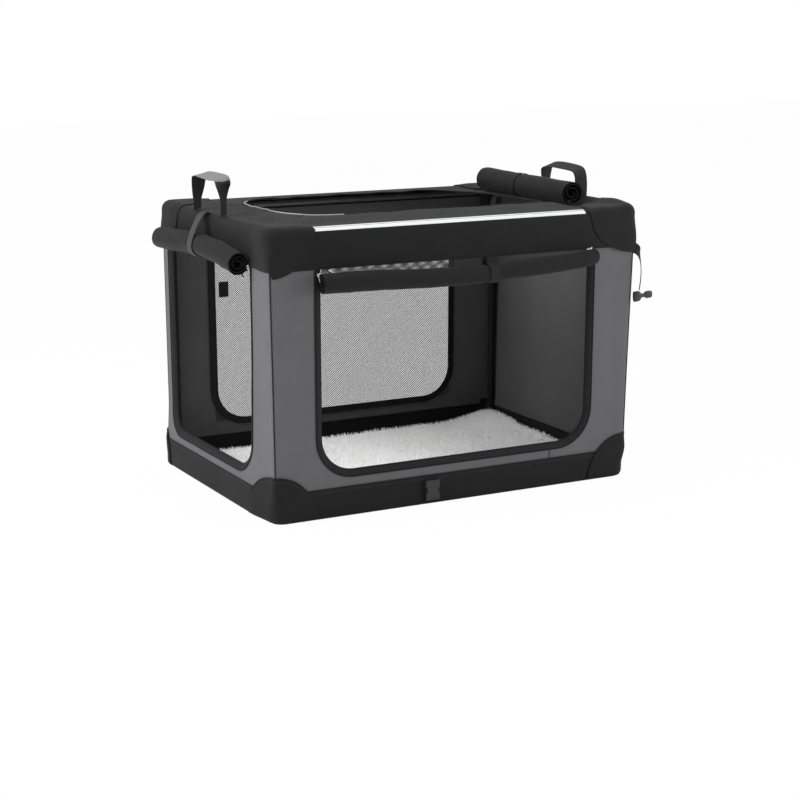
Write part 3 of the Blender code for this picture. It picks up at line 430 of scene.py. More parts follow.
# a lighter copy of the handle webbing for the left grip's upward faces: a painted highlight
GRIP_HIGHLIGHT_WEBBING = Webbing("grey_webbing", (0.225, 0.225, 0.23))
FLEECE = Plush("white_plush", (0.95, 0.95, 0.945))
THREAD = Moulded("sewing_thread", (0.035, 0.035, 0.037), 0.7)
PLASTIC = Moulded("moulded_plastic", (0.024, 0.024, 0.026), 0.42)
FRAME_STEEL = Moulded("painted_frame_steel", (0.10, 0.10, 0.105), 0.35, 0.4)
PIN_STEEL = Moulded("zinc_steel", (0.45, 0.45, 0.46), 0.35, 1.0)
ZIP_METAL = Moulded("nickel_zip", (0.72, 0.72, 0.73), 0.25, 1.0)

_built: dict[str, bpy.types.Material] = {}


def material(finish: object) -> bpy.types.Material:
    """The finish's material, built once.

    Args:
        finish: one of the finishes above.

    Returns:
        The material.
    """
    if finish.name not in _built:
        _built[finish.name] = finish.build()
    return _built[finish.name]


# Surfaces


def ripple(a: np.ndarray, b: np.ndarray, length: float, seed: int, waves: int = 9) -> np.ndarray:
    """Smooth random relief: a sum of sines in random directions, with lengths about the given one.

    Args:
        a: the first coordinate, in metres.
        b: the second coordinate, in metres.
        length: the mean wave length.
        seed: the random draw.
        waves: how many sines are added.

    Returns:
        Heights of about -1 to 1.
    """
    draw = np.random.default_rng(SEED + seed)
    turn = draw.uniform(0, 2 * np.pi, waves)
    size = 2 * np.pi / (length * draw.uniform(0.6, 1.7, waves))
    phase = draw.uniform(0, 2 * np.pi, waves)
    total = np.zeros(np.broadcast(a, b).shape)
    for direction, count, start in zip(turn, size, phase):
        total = total + np.sin((a * np.cos(direction) + b * np.sin(direction)) * count + start)
    return total / math.sqrt(waves)


def ease(value: np.ndarray) -> np.ndarray:
    """A smooth step: zero below 0, one above 1, and 3t squared minus 2t cubed between."""
    t = np.clip(value, 0.0, 1.0)
    return t * t * (3 - 2 * t)


def grid_faces(rows: int, columns: int, round_rows: bool, round_columns: bool) -> np.ndarray:
    """The quads of a grid of points, joined end to end where a direction is closed.

    Args:
        rows: the number of rows of points.
        columns: the number of points in a row.
        round_rows: whether the last row joins the first.
        round_columns: whether the last column joins the first.

    Returns:
        Four point numbers for each quad.
    """
    i, j = np.meshgrid(
        np.arange(rows if round_rows else rows - 1),
        np.arange(columns if round_columns else columns - 1),
        indexing="ij",
    )
    up, over = (i + 1) % rows, (j + 1) % columns
    quads = np.stack([i * columns + j, i * columns + over, up * columns + over, up * columns + j], -1)
    return quads.reshape(-1, 4)


def mesh_piece(
    name: str, points: np.ndarray, faces: np.ndarray, uv: np.ndarray | None = None, weld: bool = False
) -> bpy.types.Object:
    """Puts points and faces into a mesh object at the origin.

    Args:
        name: the object's name.
        points: the points, three numbers each.
        faces: the point numbers of each face, all with the same count.
        uv: a coordinate pair for each point, in metres.
        weld: whether doubled points, such as those at a pole, are merged.

    Returns:
        The object.
    """
    mesh = bpy.data.meshes.new(name)
    mesh.from_pydata(points.reshape(-1, 3).tolist(), [], faces.tolist())
    if uv is not None:
        layer = mesh.uv_layers.new(name="UVMap")
        layer.data.foreach_set("uv", uv.reshape(-1, 2)[faces.ravel()].astype(np.float32).ravel())
    if weld:
        work = bmesh.new()
        work.from_mesh(mesh)
        bmesh.ops.remove_doubles(work, verts=work.verts, dist=0.01 * MM)
        work.to_mesh(mesh)
        work.free()
    made = bpy.data.objects.new(name, mesh)
    bpy.context.scene.collection.objects.link(made)
    return made


def grid_piece(
    name: str,
    points: np.ndarray,
    uv: np.ndarray | None = None,
    round_rows: bool = False,
    round_columns: bool = False,
    weld: bool = False,
) -> bpy.types.Object:
    """A mesh object from a grid of points, rows first.

    Args:
        name: the object's name.
        points: the grid, rows by columns by three.
        uv: coordinates in metres, rows by columns by two.
        round_rows: whether the last row joins the first.
        round_columns: whether the last column joins the first.
        weld: whether doubled points are merged.

    Returns:
        The object.
    """
    faces = grid_faces(points.shape[0], points.shape[1], round_rows, round_columns)
    return mesh_piece(name, points, faces, uv, weld)


def settle(piece: bpy.types.Object) -> None:
    """Bakes a piece's modifiers into its mesh.

    Args:
        piece: the piece.
    """
    if piece.modifiers:
        bpy.context.view_layer.update()
        graph = bpy.context.evaluated_depsgraph_get()
        mesh = bpy.data.meshes.new_from_object(piece.evaluated_get(graph))
        piece.modifiers.clear()
        piece.data = mesh


def give_depth(piece: bpy.types.Object, depth: float, lined: bool = False) -> None:
    """Thickens an open surface inwards.

    Args:
        piece: the surface, its faces outwards.
        depth: the thickness.
        lined: whether the inner skin takes the piece's second material.
    """
    wall = piece.modifiers.new("depth", "SOLIDIFY")
    wall.thickness = depth
    wall.offset = -1.0
    if lined:
        wall.material_offset = 1


def read_rows(items: bpy.types.bpy_prop_collection, key: str, kind: type = np.float32) -> np.ndarray:
    """A property with three numbers, read from all of a mesh's items.

    Args:
        items: the mesh's vertices, faces or triangles.
        key: the property's name.
        kind: the numbers' type.

    Returns:
        One row of three numbers for each item.
    """
    values = np.zeros(len(items) * 3, kind)
    items.foreach_get(key, values)
    return values.reshape(-1, 3)


def move_points(mesh: bpy.types.Mesh, points: np.ndarray) -> None:
    """Puts a mesh's points at new places.

    Args:
        mesh: the mesh.
        points: the places, one row for each point.
    """
    mesh.vertices.foreach_set("co", points.astype(np.float32).ravel())
    mesh.update()


# How far the filled-out cloth lies off the plain box form
TOP_RISE = 5.0 * MM
RIGHT_EDGE_RISE = 9.0 * MM
RIGHT_LEAN = 13.5 * MM
NEAR_LEFT_LEAN = 6.0 * MM
LEFT_FOOT_SWELL = 9.0 * MM
LEFT_DOORWAY_DRAW = 12.0 * MM


def drape(points: np.ndarray) -> np.ndarray:
    """Where the filled-out cloth lies, from its place on the plain box form.

    The top stands above its frame but for the hollow under the top roll, and higher along the right
    edge. The right end leans out with height, and so does the near left corner. The foot of the left
    side swells out, and the left doorway's near edge draws in below.

    Args:
        points: the points on the plain form.

    Returns:
        The points moved.
    """
    x, y, z = points.T
    up = ease((z - 0.585) / 0.040)
    hollow = ease((x - 0.335) / 0.020) * ease((0.418 - x) / 0.016) * ease((0.255 - np.abs(y - 0.033)) / 0.030)
    edge = ease((x - 0.405) / 0.030) * (1 - 0.7 * ease((np.abs(y) - 0.235) / 0.075))
    level = np.clip(z / 0.63, 0, 1) ** 1.4
    lean = RIGHT_LEAN * ease((x - 0.36) / 0.09) * level
    lean = lean - NEAR_LEFT_LEAN * ease((-x - 0.36) / 0.09) * level * ease((-y - 0.22) / 0.06)
    left = ease((-x - 0.430) / 0.012)
    swell = left * (1 - ease((z - 0.06) / 0.10)) * ease((y + 0.305) / 0.09) * ease((0.330 - y) / 0.04)
    draw = left * ease((0.42 - z) / 0.34) * ease((-y - 0.05) / 0.12) * ease((y + 0.300) / 0.05)
    rise = up * (TOP_RISE * (1 - hollow) + RIGHT_EDGE_RISE * edge)
    return points + np.stack([lean - LEFT_FOOT_SWELL * swell, LEFT_DOORWAY_DRAW * draw, rise], -1)


def dress(
    piece: bpy.types.Object,
    body: Body,
    finish: object,
    slot: Slot,
    replaces: tuple[str, ...] = (),
    lining: object | None = None,
    flat_angle: float = 40.0,
    draped: bool = True,
) -> bpy.types.Object:
    """Gives a finished piece its material and its body.

    Args:
        piece: the piece, in place.
        body: the body that it rides on.
        finish: its finish.
        slot: the record's slot; fleece, steel and plastic pieces take no drape.
        replaces: the nodes that it stands for.
        lining: the finish of its inner skin.
        flat_angle: the edge angle in degrees above which edges stay sharp.
        draped: whether a cloth or webbing piece takes the cover's drape.

    Returns:
        The piece.
    """
    piece.data.materials.append(material(finish))
    if lining:
        piece.data.materials.append(material(lining))
    settle(piece)
    if draped and slot not in (Slot.WHITE_FLEECE, Slot.STEEL, Slot.PLASTIC):
        move_points(piece.data, drape(read_rows(piece.data.vertices, "co").astype(float)))
    piece.data.shade_smooth()
    piece.data.set_sharp_from_angle(angle=math.radians(flat_angle))
    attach(piece, body.value)
    if replaces:
        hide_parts(*replaces)
    LOG.info("%s: %d faces on %s", piece.name, len(piece.data.polygons), body.value)
    return piece


def rounded_loop(
    low: tuple[float, float], high: tuple[float, float], radii: tuple[float, float], step: float = 6 * MM
) -> tuple[np.ndarray, np.ndarray]:
    """A closed outline with one radius at its lower corners and one at its upper ones.

    Straight stretches are cut evenly; corners are arcs. It runs anticlockwise from the lower left.

    Args:
        low: the lower left corner.
        high: the upper right corner.
        radii: the lower and upper radii.
        step: the distance between points on a straight stretch.

    Returns:
        The points, and the outward unit vector at each.
    """
    below, above = radii
    corners = (
        (high[0] - below, low[1] + below, below, -90.0),
        (high[0] - above, high[1] - above, above, 0.0),
        (low[0] + above, high[1] - above, above, 90.0),
        (low[0] + below, low[1] + below, below, 180.0),
    )
    points, ways = [], []
    for number, (x, y, radius, start) in enumerate(corners):
        last = corners[number - 1]
        way = np.radians(start)
        normal = np.array([np.cos(way), np.sin(way)])
        begin = np.array(last[:2]) + last[2] * normal
        end = np.array([x, y]) + radius * normal
        count = max(int(np.linalg.norm(end - begin) / step), 2)
        share = np.arange(count)[:, None] / count
        points.append(begin + (end - begin) * share)
        ways.append(np.repeat(normal[None], count, 0))
        turn = np.radians(start + np.arange(12) / 12 * 90)
        spokes = np.stack([np.cos(turn), np.sin(turn)], -1)
        points.append(np.array([x, y]) + radius * spokes)
        ways.append(spokes)
    return np.concatenate(points), np.concatenate(ways)


def arc_length(points: np.ndarray, closed: bool = False) -> np.ndarray:
    """The distance along a path at each of its points.

    Args:
        points: the path.
        closed: whether the way back to the first point is added.

    Returns:
        The distances, one more than the points when closed.
    """
    path = np.concatenate([points, points[:1]]) if closed else points
    steps = np.linalg.norm(np.diff(path, axis=0), axis=1)
    return np.concatenate([[0.0], np.cumsum(steps)])


def resample(points: np.ndarray, step: float, closed: bool = False) -> np.ndarray:
    """Evenly spaced points on a path.

    Args:
        points: the path.
        step: the spacing, about.
        closed: whether the path is a loop.

    Returns:
        The new points; a loop's first point isn't repeated.
    """
    path = np.concatenate([points, points[:1]]) if closed else points
    along = arc_length(points, closed)
    count = max(int(round(along[-1] / step)), 2)
    places = np.linspace(0, along[-1], count + 1)
    if closed:
        places = places[:-1]
    return np.stack([np.interp(places, along, path[:, k]) for k in range(path.shape[1])], -1)


def smooth_path(points: list | np.ndarray, count: int) -> np.ndarray:
    """A smooth curve through points: Catmull-Rom cubics with the ends repeated.

    Args:
        points: the points to pass through.
        count: how many points the curve gets.

    Returns:
        The curve's points.
    """
    knots = np.array(points, float)
    knots = np.concatenate([[2 * knots[0] - knots[1]], knots, [2 * knots[-1] - knots[-2]]])
    place = np.linspace(0, len(knots) - 3 - 1e-9, count)
    i = place.astype(int)
    t = (place - i)[:, None]
    a, b, c, d = knots[i], knots[i + 1], knots[i + 2], knots[i + 3]
    return 0.5 * (
        2 * b + (c - a) * t + (2 * a - 5 * b + 4 * c - d) * t**2 + (3 * b - a - 3 * c + d) * t**3
    )


def unit(vectors: np.ndarray) -> np.ndarray:
    """Vectors scaled to a length of one."""
    return vectors / np.maximum(np.linalg.norm(vectors, axis=-1, keepdims=True), 1e-12)


def spread(across: np.ndarray, along: np.ndarray) -> np.ndarray:
    """A grid's UV pairs in metres, from one number for each column and one for each row."""
    return np.stack(np.broadcast_arrays(across[None], along[:, None]), -1)


def rounded_square(count: int) -> tuple[np.ndarray, np.ndarray]:
    """A square with rounded corners: the signed roots of the cosine and the sine, at even angles."""
    turn = (np.arange(count) + 0.5) / count * 2 * np.pi
    return tuple(np.sign(part) * np.abs(part) ** 0.5 for part in (np.cos(turn), np.sin(turn)))


def tube_points(path: np.ndarray, radius: float | np.ndarray, sides: int, closed: bool) -> np.ndarray:
    """A round profile carried along a path, held upright by the world's least parallel axis.

    Args:
        path: the middle line.
        radius: the radius, or one for each point.
        sides: the points round the profile.
        closed: whether the path is a loop.

    Returns:
        The grid of points, one row for each point of the path.
    """
    if closed:
        tangent = np.roll(path, -1, 0) - np.roll(path, 1, 0)
    else:
        tangent = np.gradient(path, axis=0)
    tangent = unit(tangent)
    spare = np.eye(3)[np.argmin(np.abs(tangent).max(0))]
    side = unit(np.cross(tangent, spare))
    top = np.cross(side, tangent)
    turn = np.arange(sides) / sides * 2 * np.pi
    circle = side[:, None] * np.cos(turn)[None, :, None] + top[:, None] * np.sin(turn)[None, :, None]
    return path[:, None] + circle * np.broadcast_to(radius, (len(path),))[:, None, None]


def cord_piece(
    name: str,
    body: Body,
    path: np.ndarray,
    radius: float,
    sides: int = 8,
    closed: bool = False,
    finish: object = BINDING,
) -> bpy.types.Object:
    """A round cord sewn along a path, its ends closed to a point.

    Args:
        name: the piece's name.
        body: the body that it rides on.
        path: the middle line.
        radius: the cord's radius.
        sides: the points round it.
        closed: whether the path is a loop.
        finish: its finish.

    Returns:
        The cord, dressed.
    """
    points = tube_points(path, radius, sides, closed)
    if not closed:
        tips = np.repeat(path[[0, -1]][:, None], sides, 1)
        points = np.concatenate([tips[:1], points, tips[1:]])
    along = np.linspace(0, arc_length(path, closed)[-1], len(points))
    uv = spread(np.arange(sides) * radius, along)
    cord = grid_piece(name, points, uv, round_rows=closed, round_columns=True, weld=not closed)
    return dress(cord, body, finish, Slot.BLACK_CLOTH)


def stitch_row(name: str, body: Body, path: np.ndarray, outward: np.ndarray) -> bpy.types.Object:
    """A row of sewing stitches: short lozenges laid end to end along a path.

    Args:
        name: the piece's name.
        body: the body that it rides on.
        path: the stitch line, on the cloth's surface.
        outward: the way out of the cloth, one vector or one for each point.

    Returns:
        The row, all its stitches in one mesh, dressed.
    """
    ways = np.broadcast_to(outward, path.shape)
    both = resample(np.concatenate([path, ways], 1), STITCH_PITCH)
    middle = (both[1:, :3] + both[:-1, :3]) / 2
    out = unit(both[1:, 3:])
    run = unit(both[1:, :3] - both[:-1, :3]) * STITCH_PITCH * 0.36
    side = unit(np.cross(out, run)) * THREAD_HALF_WIDTH
    rise = out * THREAD_RISE
    corners = [middle - run, middle - side, middle + rise, middle + side, middle + run, middle - rise * 0.3]
    points = np.stack(corners, 1)
    pattern = np.array([
        [0, 1, 2], [0, 2, 3], [4, 2, 1], [4, 3, 2], [0, 5, 1], [0, 3, 5], [4, 1, 5], [4, 5, 3]
    ])
    faces = (np.arange(len(points))[:, None, None] * 6 + pattern[None]).reshape(-1, 3)
    return dress(mesh_piece(name, points, faces), body, THREAD, Slot.BLACK_CLOTH)


@dataclass
class Sewn:
    """What the larger cloth pieces share: a name, a body and the nodes that they stand for."""

    name: str
    body: Body
    replaces: tuple[str, ...]


@dataclass(frozen=True)
class CoverForm:
    """The crate's outer form, a box with rounded upright corners and rounded rims."""

    half_x: float = 0.455
    half_y: float = 0.315
    height: float = 0.630
    corner: float = 0.030
    top_rim: float = 0.020
    base_rim: float = 0.010
    opening_x: float = 0.330
    opening_y: float = 0.180
    opening_corner: float = 0.100
    lift: float = 0.009

    def halves(self, side: Side) -> tuple[float, float]:
        """Half the side's length, and its distance from the middle."""
        return (self.half_y, self.half_x) if side.is_end else (self.half_x, self.half_y)

    def straight(self, side: Side) -> float:
        """Half the side's straight stretch."""
        return self.halves(side)[0] - self.corner

    def power(self, height: np.ndarray) -> np.ndarray:
        """The power of the corner's curve: 2, a circle, near the rims, and up to 6, crisp, between."""
        return 2 + 4 * ease((height - 0.030) / 0.060) * ease((0.608 - height) / 0.070)

    def plan(
        self, side: Side, along: np.ndarray, inset: np.ndarray, height: np.ndarray
    ) -> tuple[np.ndarray, np.ndarray]:
        """A place on the outline seen from above.

        The distance along the side is kept to its straight stretch, and what is over goes round the
        corner as an angle t. There the corner's reach is its radius less the inset, over the nth root
        of the nth powers of sin t and cos t added up, with n from the height.

        Args:
            side: the side.
            along: the distance from the side's middle, measured over the corner.
            inset: how far inside the outer form.
            height: the height.

        Returns:
            The points, and the outward unit vectors.
        """
        half = self.straight(side)
        depth = self.halves(side)[1] - self.corner
        flat = np.clip(along, -half, half)
        turn = (along - flat) / self.corner
        way = np.cos(turn)[..., None] * side.out + np.sin(turn)[..., None] * side.run
        power = self.power(height)
        norm = (np.abs(np.cos(turn)) ** power + np.abs(np.sin(turn)) ** power) ** (1 / power)
        reach = (self.corner - inset) / norm
        point = flat[..., None] * side.run + depth * side.out + reach[..., None] * way
        return point, way

    def rim(self, side: Side, along: np.ndarray, climb: np.ndarray, inset: float, low: float) -> np.ndarray:
        """A place on the upper cover: up the side, round the top rim and in to the opening's edge.

        Up to the rim the climb is a height; over the rim it is an angle; past it the point moves in a
        straight line from the rim's inner edge to the matching place on the opening's outline, and
        rises smoothly by the lift, but for the right end, where a rolled door lies.

        Args:
            side: the side.
            along: the distance from the side's middle, measured over the corner.
            climb: 0 to 1 up the face, 1 to 2 round the rim, 2 to 3 across the top.
            inset: how far inside the outer form.
            low: the height where the climb starts.

        Returns:
            The points.
        """
        radius = self.top_rim - inset
        turn = np.clip(climb - 1, 0, 1) * np.pi / 2
        share = np.clip(climb - 2, 0, 1)[..., None]
        drawn = inset + radius * (1 - np.cos(turn))
        height = low + (self.height - self.top_rim - low) * np.clip(climb, 0, 1) + radius * np.sin(turn)
        outer, way = self.plan(side, along, drawn, height)
        half, depth = (self.opening_y, self.opening_x) if side.is_end else (self.opening_x, self.opening_y)
        flat = np.clip(along, -self.straight(side), self.straight(side))
        flat = flat / self.straight(side) * (half - self.opening_corner)
        inner = flat[..., None] * side.run + (depth - self.opening_corner) * side.out
        inner = inner + self.opening_corner * way
        place = outer * (1 - share) + inner * share
        clear = ease((0.30 - place[..., 0]) / 0.12)
        front = ease((-0.13 - place[..., 1]) / 0.05) * ease((0.352 - place[..., 0]) / 0.03)
        lift = self.lift * ease(share[..., 0]) * np.maximum(clear, front)
        return np.concatenate([place, (height + lift)[..., None]], -1)

    def distance(self, points: np.ndarray) -> np.ndarray:
        """How far points lie outside the form: rounded plan first, then the rounded top rim.

        Args:
            points: the points.

        Returns:
            The signed distances, below zero inside.
        """
        size = np.array([self.half_x, self.half_y]) - self.corner
        over = np.abs(points[..., :2]) - size
        power = self.power(points[..., 2])[..., None]
        far = (np.maximum(over, 1e-9) ** power).sum(-1) ** (1 / power[..., 0])
        plan = far + np.minimum(over.max(-1), 0) - self.corner
        pair = np.stack([plan, points[..., 2] - self.height], -1) + self.top_rim
        return np.linalg.norm(np.maximum(pair, 0), axis=-1) + np.minimum(pair.max(-1), 0) - self.top_rim

    def cast(self, start: np.ndarray, aim: np.ndarray, inset: float) -> np.ndarray:
        """Follows rays from an inner point until they meet the form, by halving the interval.

        Args:
            start: the inner point.
            aim: points that the rays pass through.
            inset: how far inside the form they stop.

        Returns:
            The points where they stop.
        """
        way = unit(aim - start)
        low = np.zeros(way.shape[:-1])
        high = np.ones(way.shape[:-1])
        for _ in range(40):
            middle = (low + high) / 2
            inside = self.distance(start + way * middle[..., None]) < -inset
            low = np.where(inside, middle, low)
            high = np.where(inside, high, middle)
        return start + way * high[..., None]


COVER = CoverForm()
TRAY_HEIGHT = 0.068


def side_place(side: Side, along: np.ndarray, height: np.ndarray, inset: np.ndarray) -> np.ndarray:
    """A point on an upright side of the cover.

    Args:
        side: the side.
        along: the distance from its middle.
        height: the height.
        inset: how far inside the outer form.

    Returns:
        The points.
    """
    along, height, inset = np.broadcast_arrays(along, height, inset)
    place, _ = COVER.plan(side, along, inset, height)
    return np.concatenate([place, height[..., None]], -1)


@dataclass
class WallPanel(Sewn):
    """A cloth wall, stretched between its frame, with or without an opening.

    Its grid runs from the opening's rounded outline to the wall's own edge. Straight stretches go
    straight out, and points of a corner go out along their own direction to the edge.
    """

    side: Side
    reach: float
    low: float = 0.0685
    high: float = 0.600
    inset: float = 0.0040
    depth: float = 0.0018
    opening: tuple[tuple[float, float], tuple[float, float], tuple[float, float]] | None = None
    sag: float = 2.2 * MM
    creases: float = 0.6 * MM

    def relief(self, along: np.ndarray, height: np.ndarray, edge: np.ndarray) -> np.ndarray:
        """How far the cloth lies inside its flat place: slack between seams, and long soft creases.

        Args:
            along: the distance from the side's middle.
            height: the height.
            edge: the distance to the nearest seam.

        Returns:
            The depth.
        """
        seed = len(self.name) * 3
        free = ease(edge / 0.05)
        slack = free * self.sag * (0.6 + 0.4 * ripple(along, height * 0.4, 0.22, seed, 5))
        folds = free * self.creases * ripple(along * 0.8, height * 0.35, 0.05, seed + 1)
        return slack + folds * 0.6

    def plain_grid(self) -> tuple[np.ndarray, np.ndarray]:
        """An even grid over the whole wall, closer together at its ends.

        Returns:
            The flat points, and the distance of each to the nearest seam.
        """
        along, height = np.meshgrid(
            self.reach * np.sin(np.linspace(-1, 1, 91) * np.pi / 2), np.linspace(self.low, self.high, 61)
        )
        edge = np.minimum(self.reach - np.abs(along), np.minimum(height - self.low, self.high - height))
        return np.stack([along, height], -1), edge

    def holed_grid(self) -> tuple[np.ndarray, np.ndarray]:
        """A grid of rings from the opening out to the wall's edge, its corners pulled to the wall's.

        Returns:
            The flat points, and the distance of each to the nearest seam.
        """
        inner, ways = rounded_loop(*self.opening, step=10 * MM)
        box = np.array([[-self.reach, self.low], [self.reach, self.high]])
        never = 9.0
        with np.errstate(divide="ignore", invalid="ignore"):
            back = np.where(ways < -1e-9, (box[0] - inner) / ways, never)
            runs = np.where(ways > 1e-9, (box[1] - inner) / ways, back)
        far = np.where(np.abs(ways) < 1e-9, never, runs).min(-1)
        even = np.linspace(0, 1, 41)
        share = ease(even) * 0.7 + even * 0.3
        flat = inner[None] + ways[None] * far[None, :, None] * share[:, None, None]
        edge = np.minimum(far[None] * share[:, None], far[None] * (1 - share[:, None]))
        last = flat[-1]
        for spot in np.array([[x, z] for x in box[:, 0] for z in box[:, 1]]):
            nearest = np.argmin(np.linalg.norm(last - spot, axis=1))
            shift = spot - last[nearest]
            flat[:, nearest] += shift[None] * share[:, None]
        return flat[:, ::-1], edge[:, ::-1]

    def build(self) -> bpy.types.Object:
        """Builds and dresses the wall."""
        flat, edge = self.holed_grid() if self.opening else self.plain_grid()
        along, height = flat[..., 0], flat[..., 1]
        points = side_place(self.side, along, height, self.inset + self.relief(along, height, edge))
        wall = grid_piece(self.name, points, flat, round_columns=bool(self.opening))
        give_depth(wall, self.depth, lined=True)
        return dress(wall, self.body, GREY_OXFORD, Slot.GREY_CLOTH, self.replaces, LINING)


@dataclass
class ZipTrim(Sewn):
    """The zip tape round a doorway or window: an outer roll, a tape that turns in, its hem and stitches.

    A row of the profile is the share of the tape's width, and its rise out of the wall in millimetres.
    """

    side: Side
    low: tuple[float, float]
    high: tuple[float, float]
    radii: tuple[float, float]
    width: float = 0.0145
    inset: float = 0.0040
    outer_cord: float = 2.0 * MM
    inner_cord: float = 1.6 * MM
    top: float | None = None
    profile: tuple[tuple[float, float], ...] = (
        (0.0, -0.2), (0.08, 0.9), (0.2, 1.3), (0.35, 1.0), (0.5, 0.2),
        (0.65, -1.0), (0.8, -2.6), (0.92, -4.4), (1.0, -6.4),
    )

    def loop(self, shrink: float, out: float) -> np.ndarray:
        """The doorway's outline drawn in, on the wall's surface.

        Args:
            shrink: how far it is drawn in.
            out: how far it stands out of the wall.

        Returns:
            The loop's points, or those from the top down, round the sill and up again.
        """
        low = (self.low[0] + shrink, self.low[1] + shrink)
        high = (self.high[0] - shrink, self.high[1] - shrink)
        radii = tuple(max(r - shrink, 3 * MM) for r in self.radii)
        flat, _ = rounded_loop(low, high, radii, step=8 * MM)
        if self.top is not None:
            outline, _ = rounded_loop(self.low, self.high, self.radii, step=8 * MM)
            kept = np.flatnonzero(outline[:, 1] < self.top)
            gap = int(np.argmax(np.diff(kept))) + 1
            flat = flat[np.roll(kept, -gap)]
            flat[[0, -1], 1] = self.top
        return side_place(self.side, flat[:, 0], flat[:, 1], np.full(len(flat), self.inset - out))

    def build(self) -> list[bpy.types.Object]:
        """Builds and dresses the tape, its two cords and its stitches."""
        points = np.stack([self.loop(self.width * share, MM * rise) for share, rise in self.profile])
        closed = self.top is None
        around = np.linspace(0, arc_length(points[0], closed)[-1], points.shape[1])
        uv = spread(around, np.array(self.profile)[:, 0] * self.width)
        tape = grid_piece(self.name, points, uv, round_columns=closed)
        give_depth(tape, 1.6 * MM)
        made = [dress(tape, self.body, ZIP_TAPE, Slot.BLACK_CLOTH, self.replaces)]
        hem_rise = self.profile[-1][1] * MM
        for label, loop, radius in (
            ("_edge", self.loop(0.0, 0.6 * MM), self.outer_cord),
            ("_hem", self.loop(self.width, hem_rise), self.inner_cord),
        ):
            made.append(cord_piece(self.name + label, self.body, loop, radius, 8, closed))
        line = self.loop(self.width * 0.24, 1.4 * MM)
        line = np.concatenate([line, line[:1]]) if closed else line
        made.append(stitch_row(self.name + "_stitches", self.body, line, np.array([*self.side.out, 0.0])))
        return made


@dataclass
class TopBand(Sewn):
    """One black band of the top: face, rounded rim and border of the opening, with its piping.

    The piping is pale up to a place along the band, and black from there.
    """

    side: Side
    pale_to: float = -1.0
    low: float = 0.545
    inset: float = 0.0019
    depth: float = 0.0018
    puff: float = 1.2 * MM

    def limit(self) -> float:
        """Half the band's length, to the middle of each corner, less the seam."""
        return COVER.straight(self.side) + COVER.corner * math.pi / 4 - 0.2 * MM

    def place(self, along: np.ndarray, climb: np.ndarray) -> np.ndarray:
        """A point of the band, its cloth slightly puffed between its seams and slack on top.

        Args:
            along: the distance from the side's middle.
            climb: 0 to 1 up the face, 1 to 2 round the rim, 2 to 3 across the top.

        Returns:
            The points.
        """
        points = COVER.rim(self.side, along, climb, self.inset, self.low)
        seed = len(self.name)
        face = ease(climb / 0.25) * ease((1.6 - climb) / 0.6)
        bulge = face * (self.puff * 0.5 + 0.5 * MM * ripple(along, climb * 0.1, 0.09, seed))
        out = np.concatenate([self.side.out, [0.0]])
        top = ease((climb - 2) / 0.3)
        slack = top * (2.0 * MM * np.sin(np.clip(climb - 2, 0, 1) * np.pi * 0.6))
        slack = slack + top * 0.8 * MM * ripple(along, climb * 0.1, 0.11, seed + 2)
        points = points + bulge[..., None] * out
        points[..., 2] -= np.maximum(slack, 0)
        return points

    def build(self) -> list[bpy.types.Object]:
        """Builds and dresses the band, its piping and its hem's two rows of stitches."""
        half = COVER.straight(self.side)
        limit = self.limit()
        along = np.concatenate([
            np.linspace(-limit, -half, 6)[:-1], np.linspace(-half, half, 71), np.linspace(half, limit, 6)[1:]
        ])
        climb = np.concatenate([np.linspace(0, 1, 15), np.linspace(1, 2, 9)[1:], np.linspace(2, 3, 13)[1:]])
        columns, rows = np.meshgrid(along, climb)
        points = self.place(columns, rows)
        run = np.linalg.norm(np.diff(points, axis=0), axis=-1).mean(-1)
        height = np.concatenate([[0.0], np.cumsum(run)])
        band = grid_piece(self.name, points, spread(along, height))
        give_depth(band, self.depth)
        made = [dress(band, self.body, BLACK_OXFORD, Slot.BLACK_CLOTH, self.replaces)]
        edge = self.place(along, np.full(len(along), 3.0))
        edge[:, 2] += 0.4 * MM
        overlap = 8 * MM
        for label, part, finish in (
            ("_piping", edge[along <= self.pale_to], PALE_PIPING),
            ("_binding", edge[along >= self.pale_to - overlap], BINDING),
        ):
            if len(part) > 1:
                made.append(cord_piece(self.name + label, self.body, part, 1.1 * MM, finish=finish))
        out = np.concatenate([self.side.out, [0.0]])
        inner = along[np.abs(along) < half]
        for number, climb_share in enumerate((0.05, 0.13)):
            line = self.place(inner, np.full(len(inner), climb_share)) + out * 0.15 * MM
            made.append(stitch_row(f"{self.name}_hem_{number}", self.body, line, out))
        return made


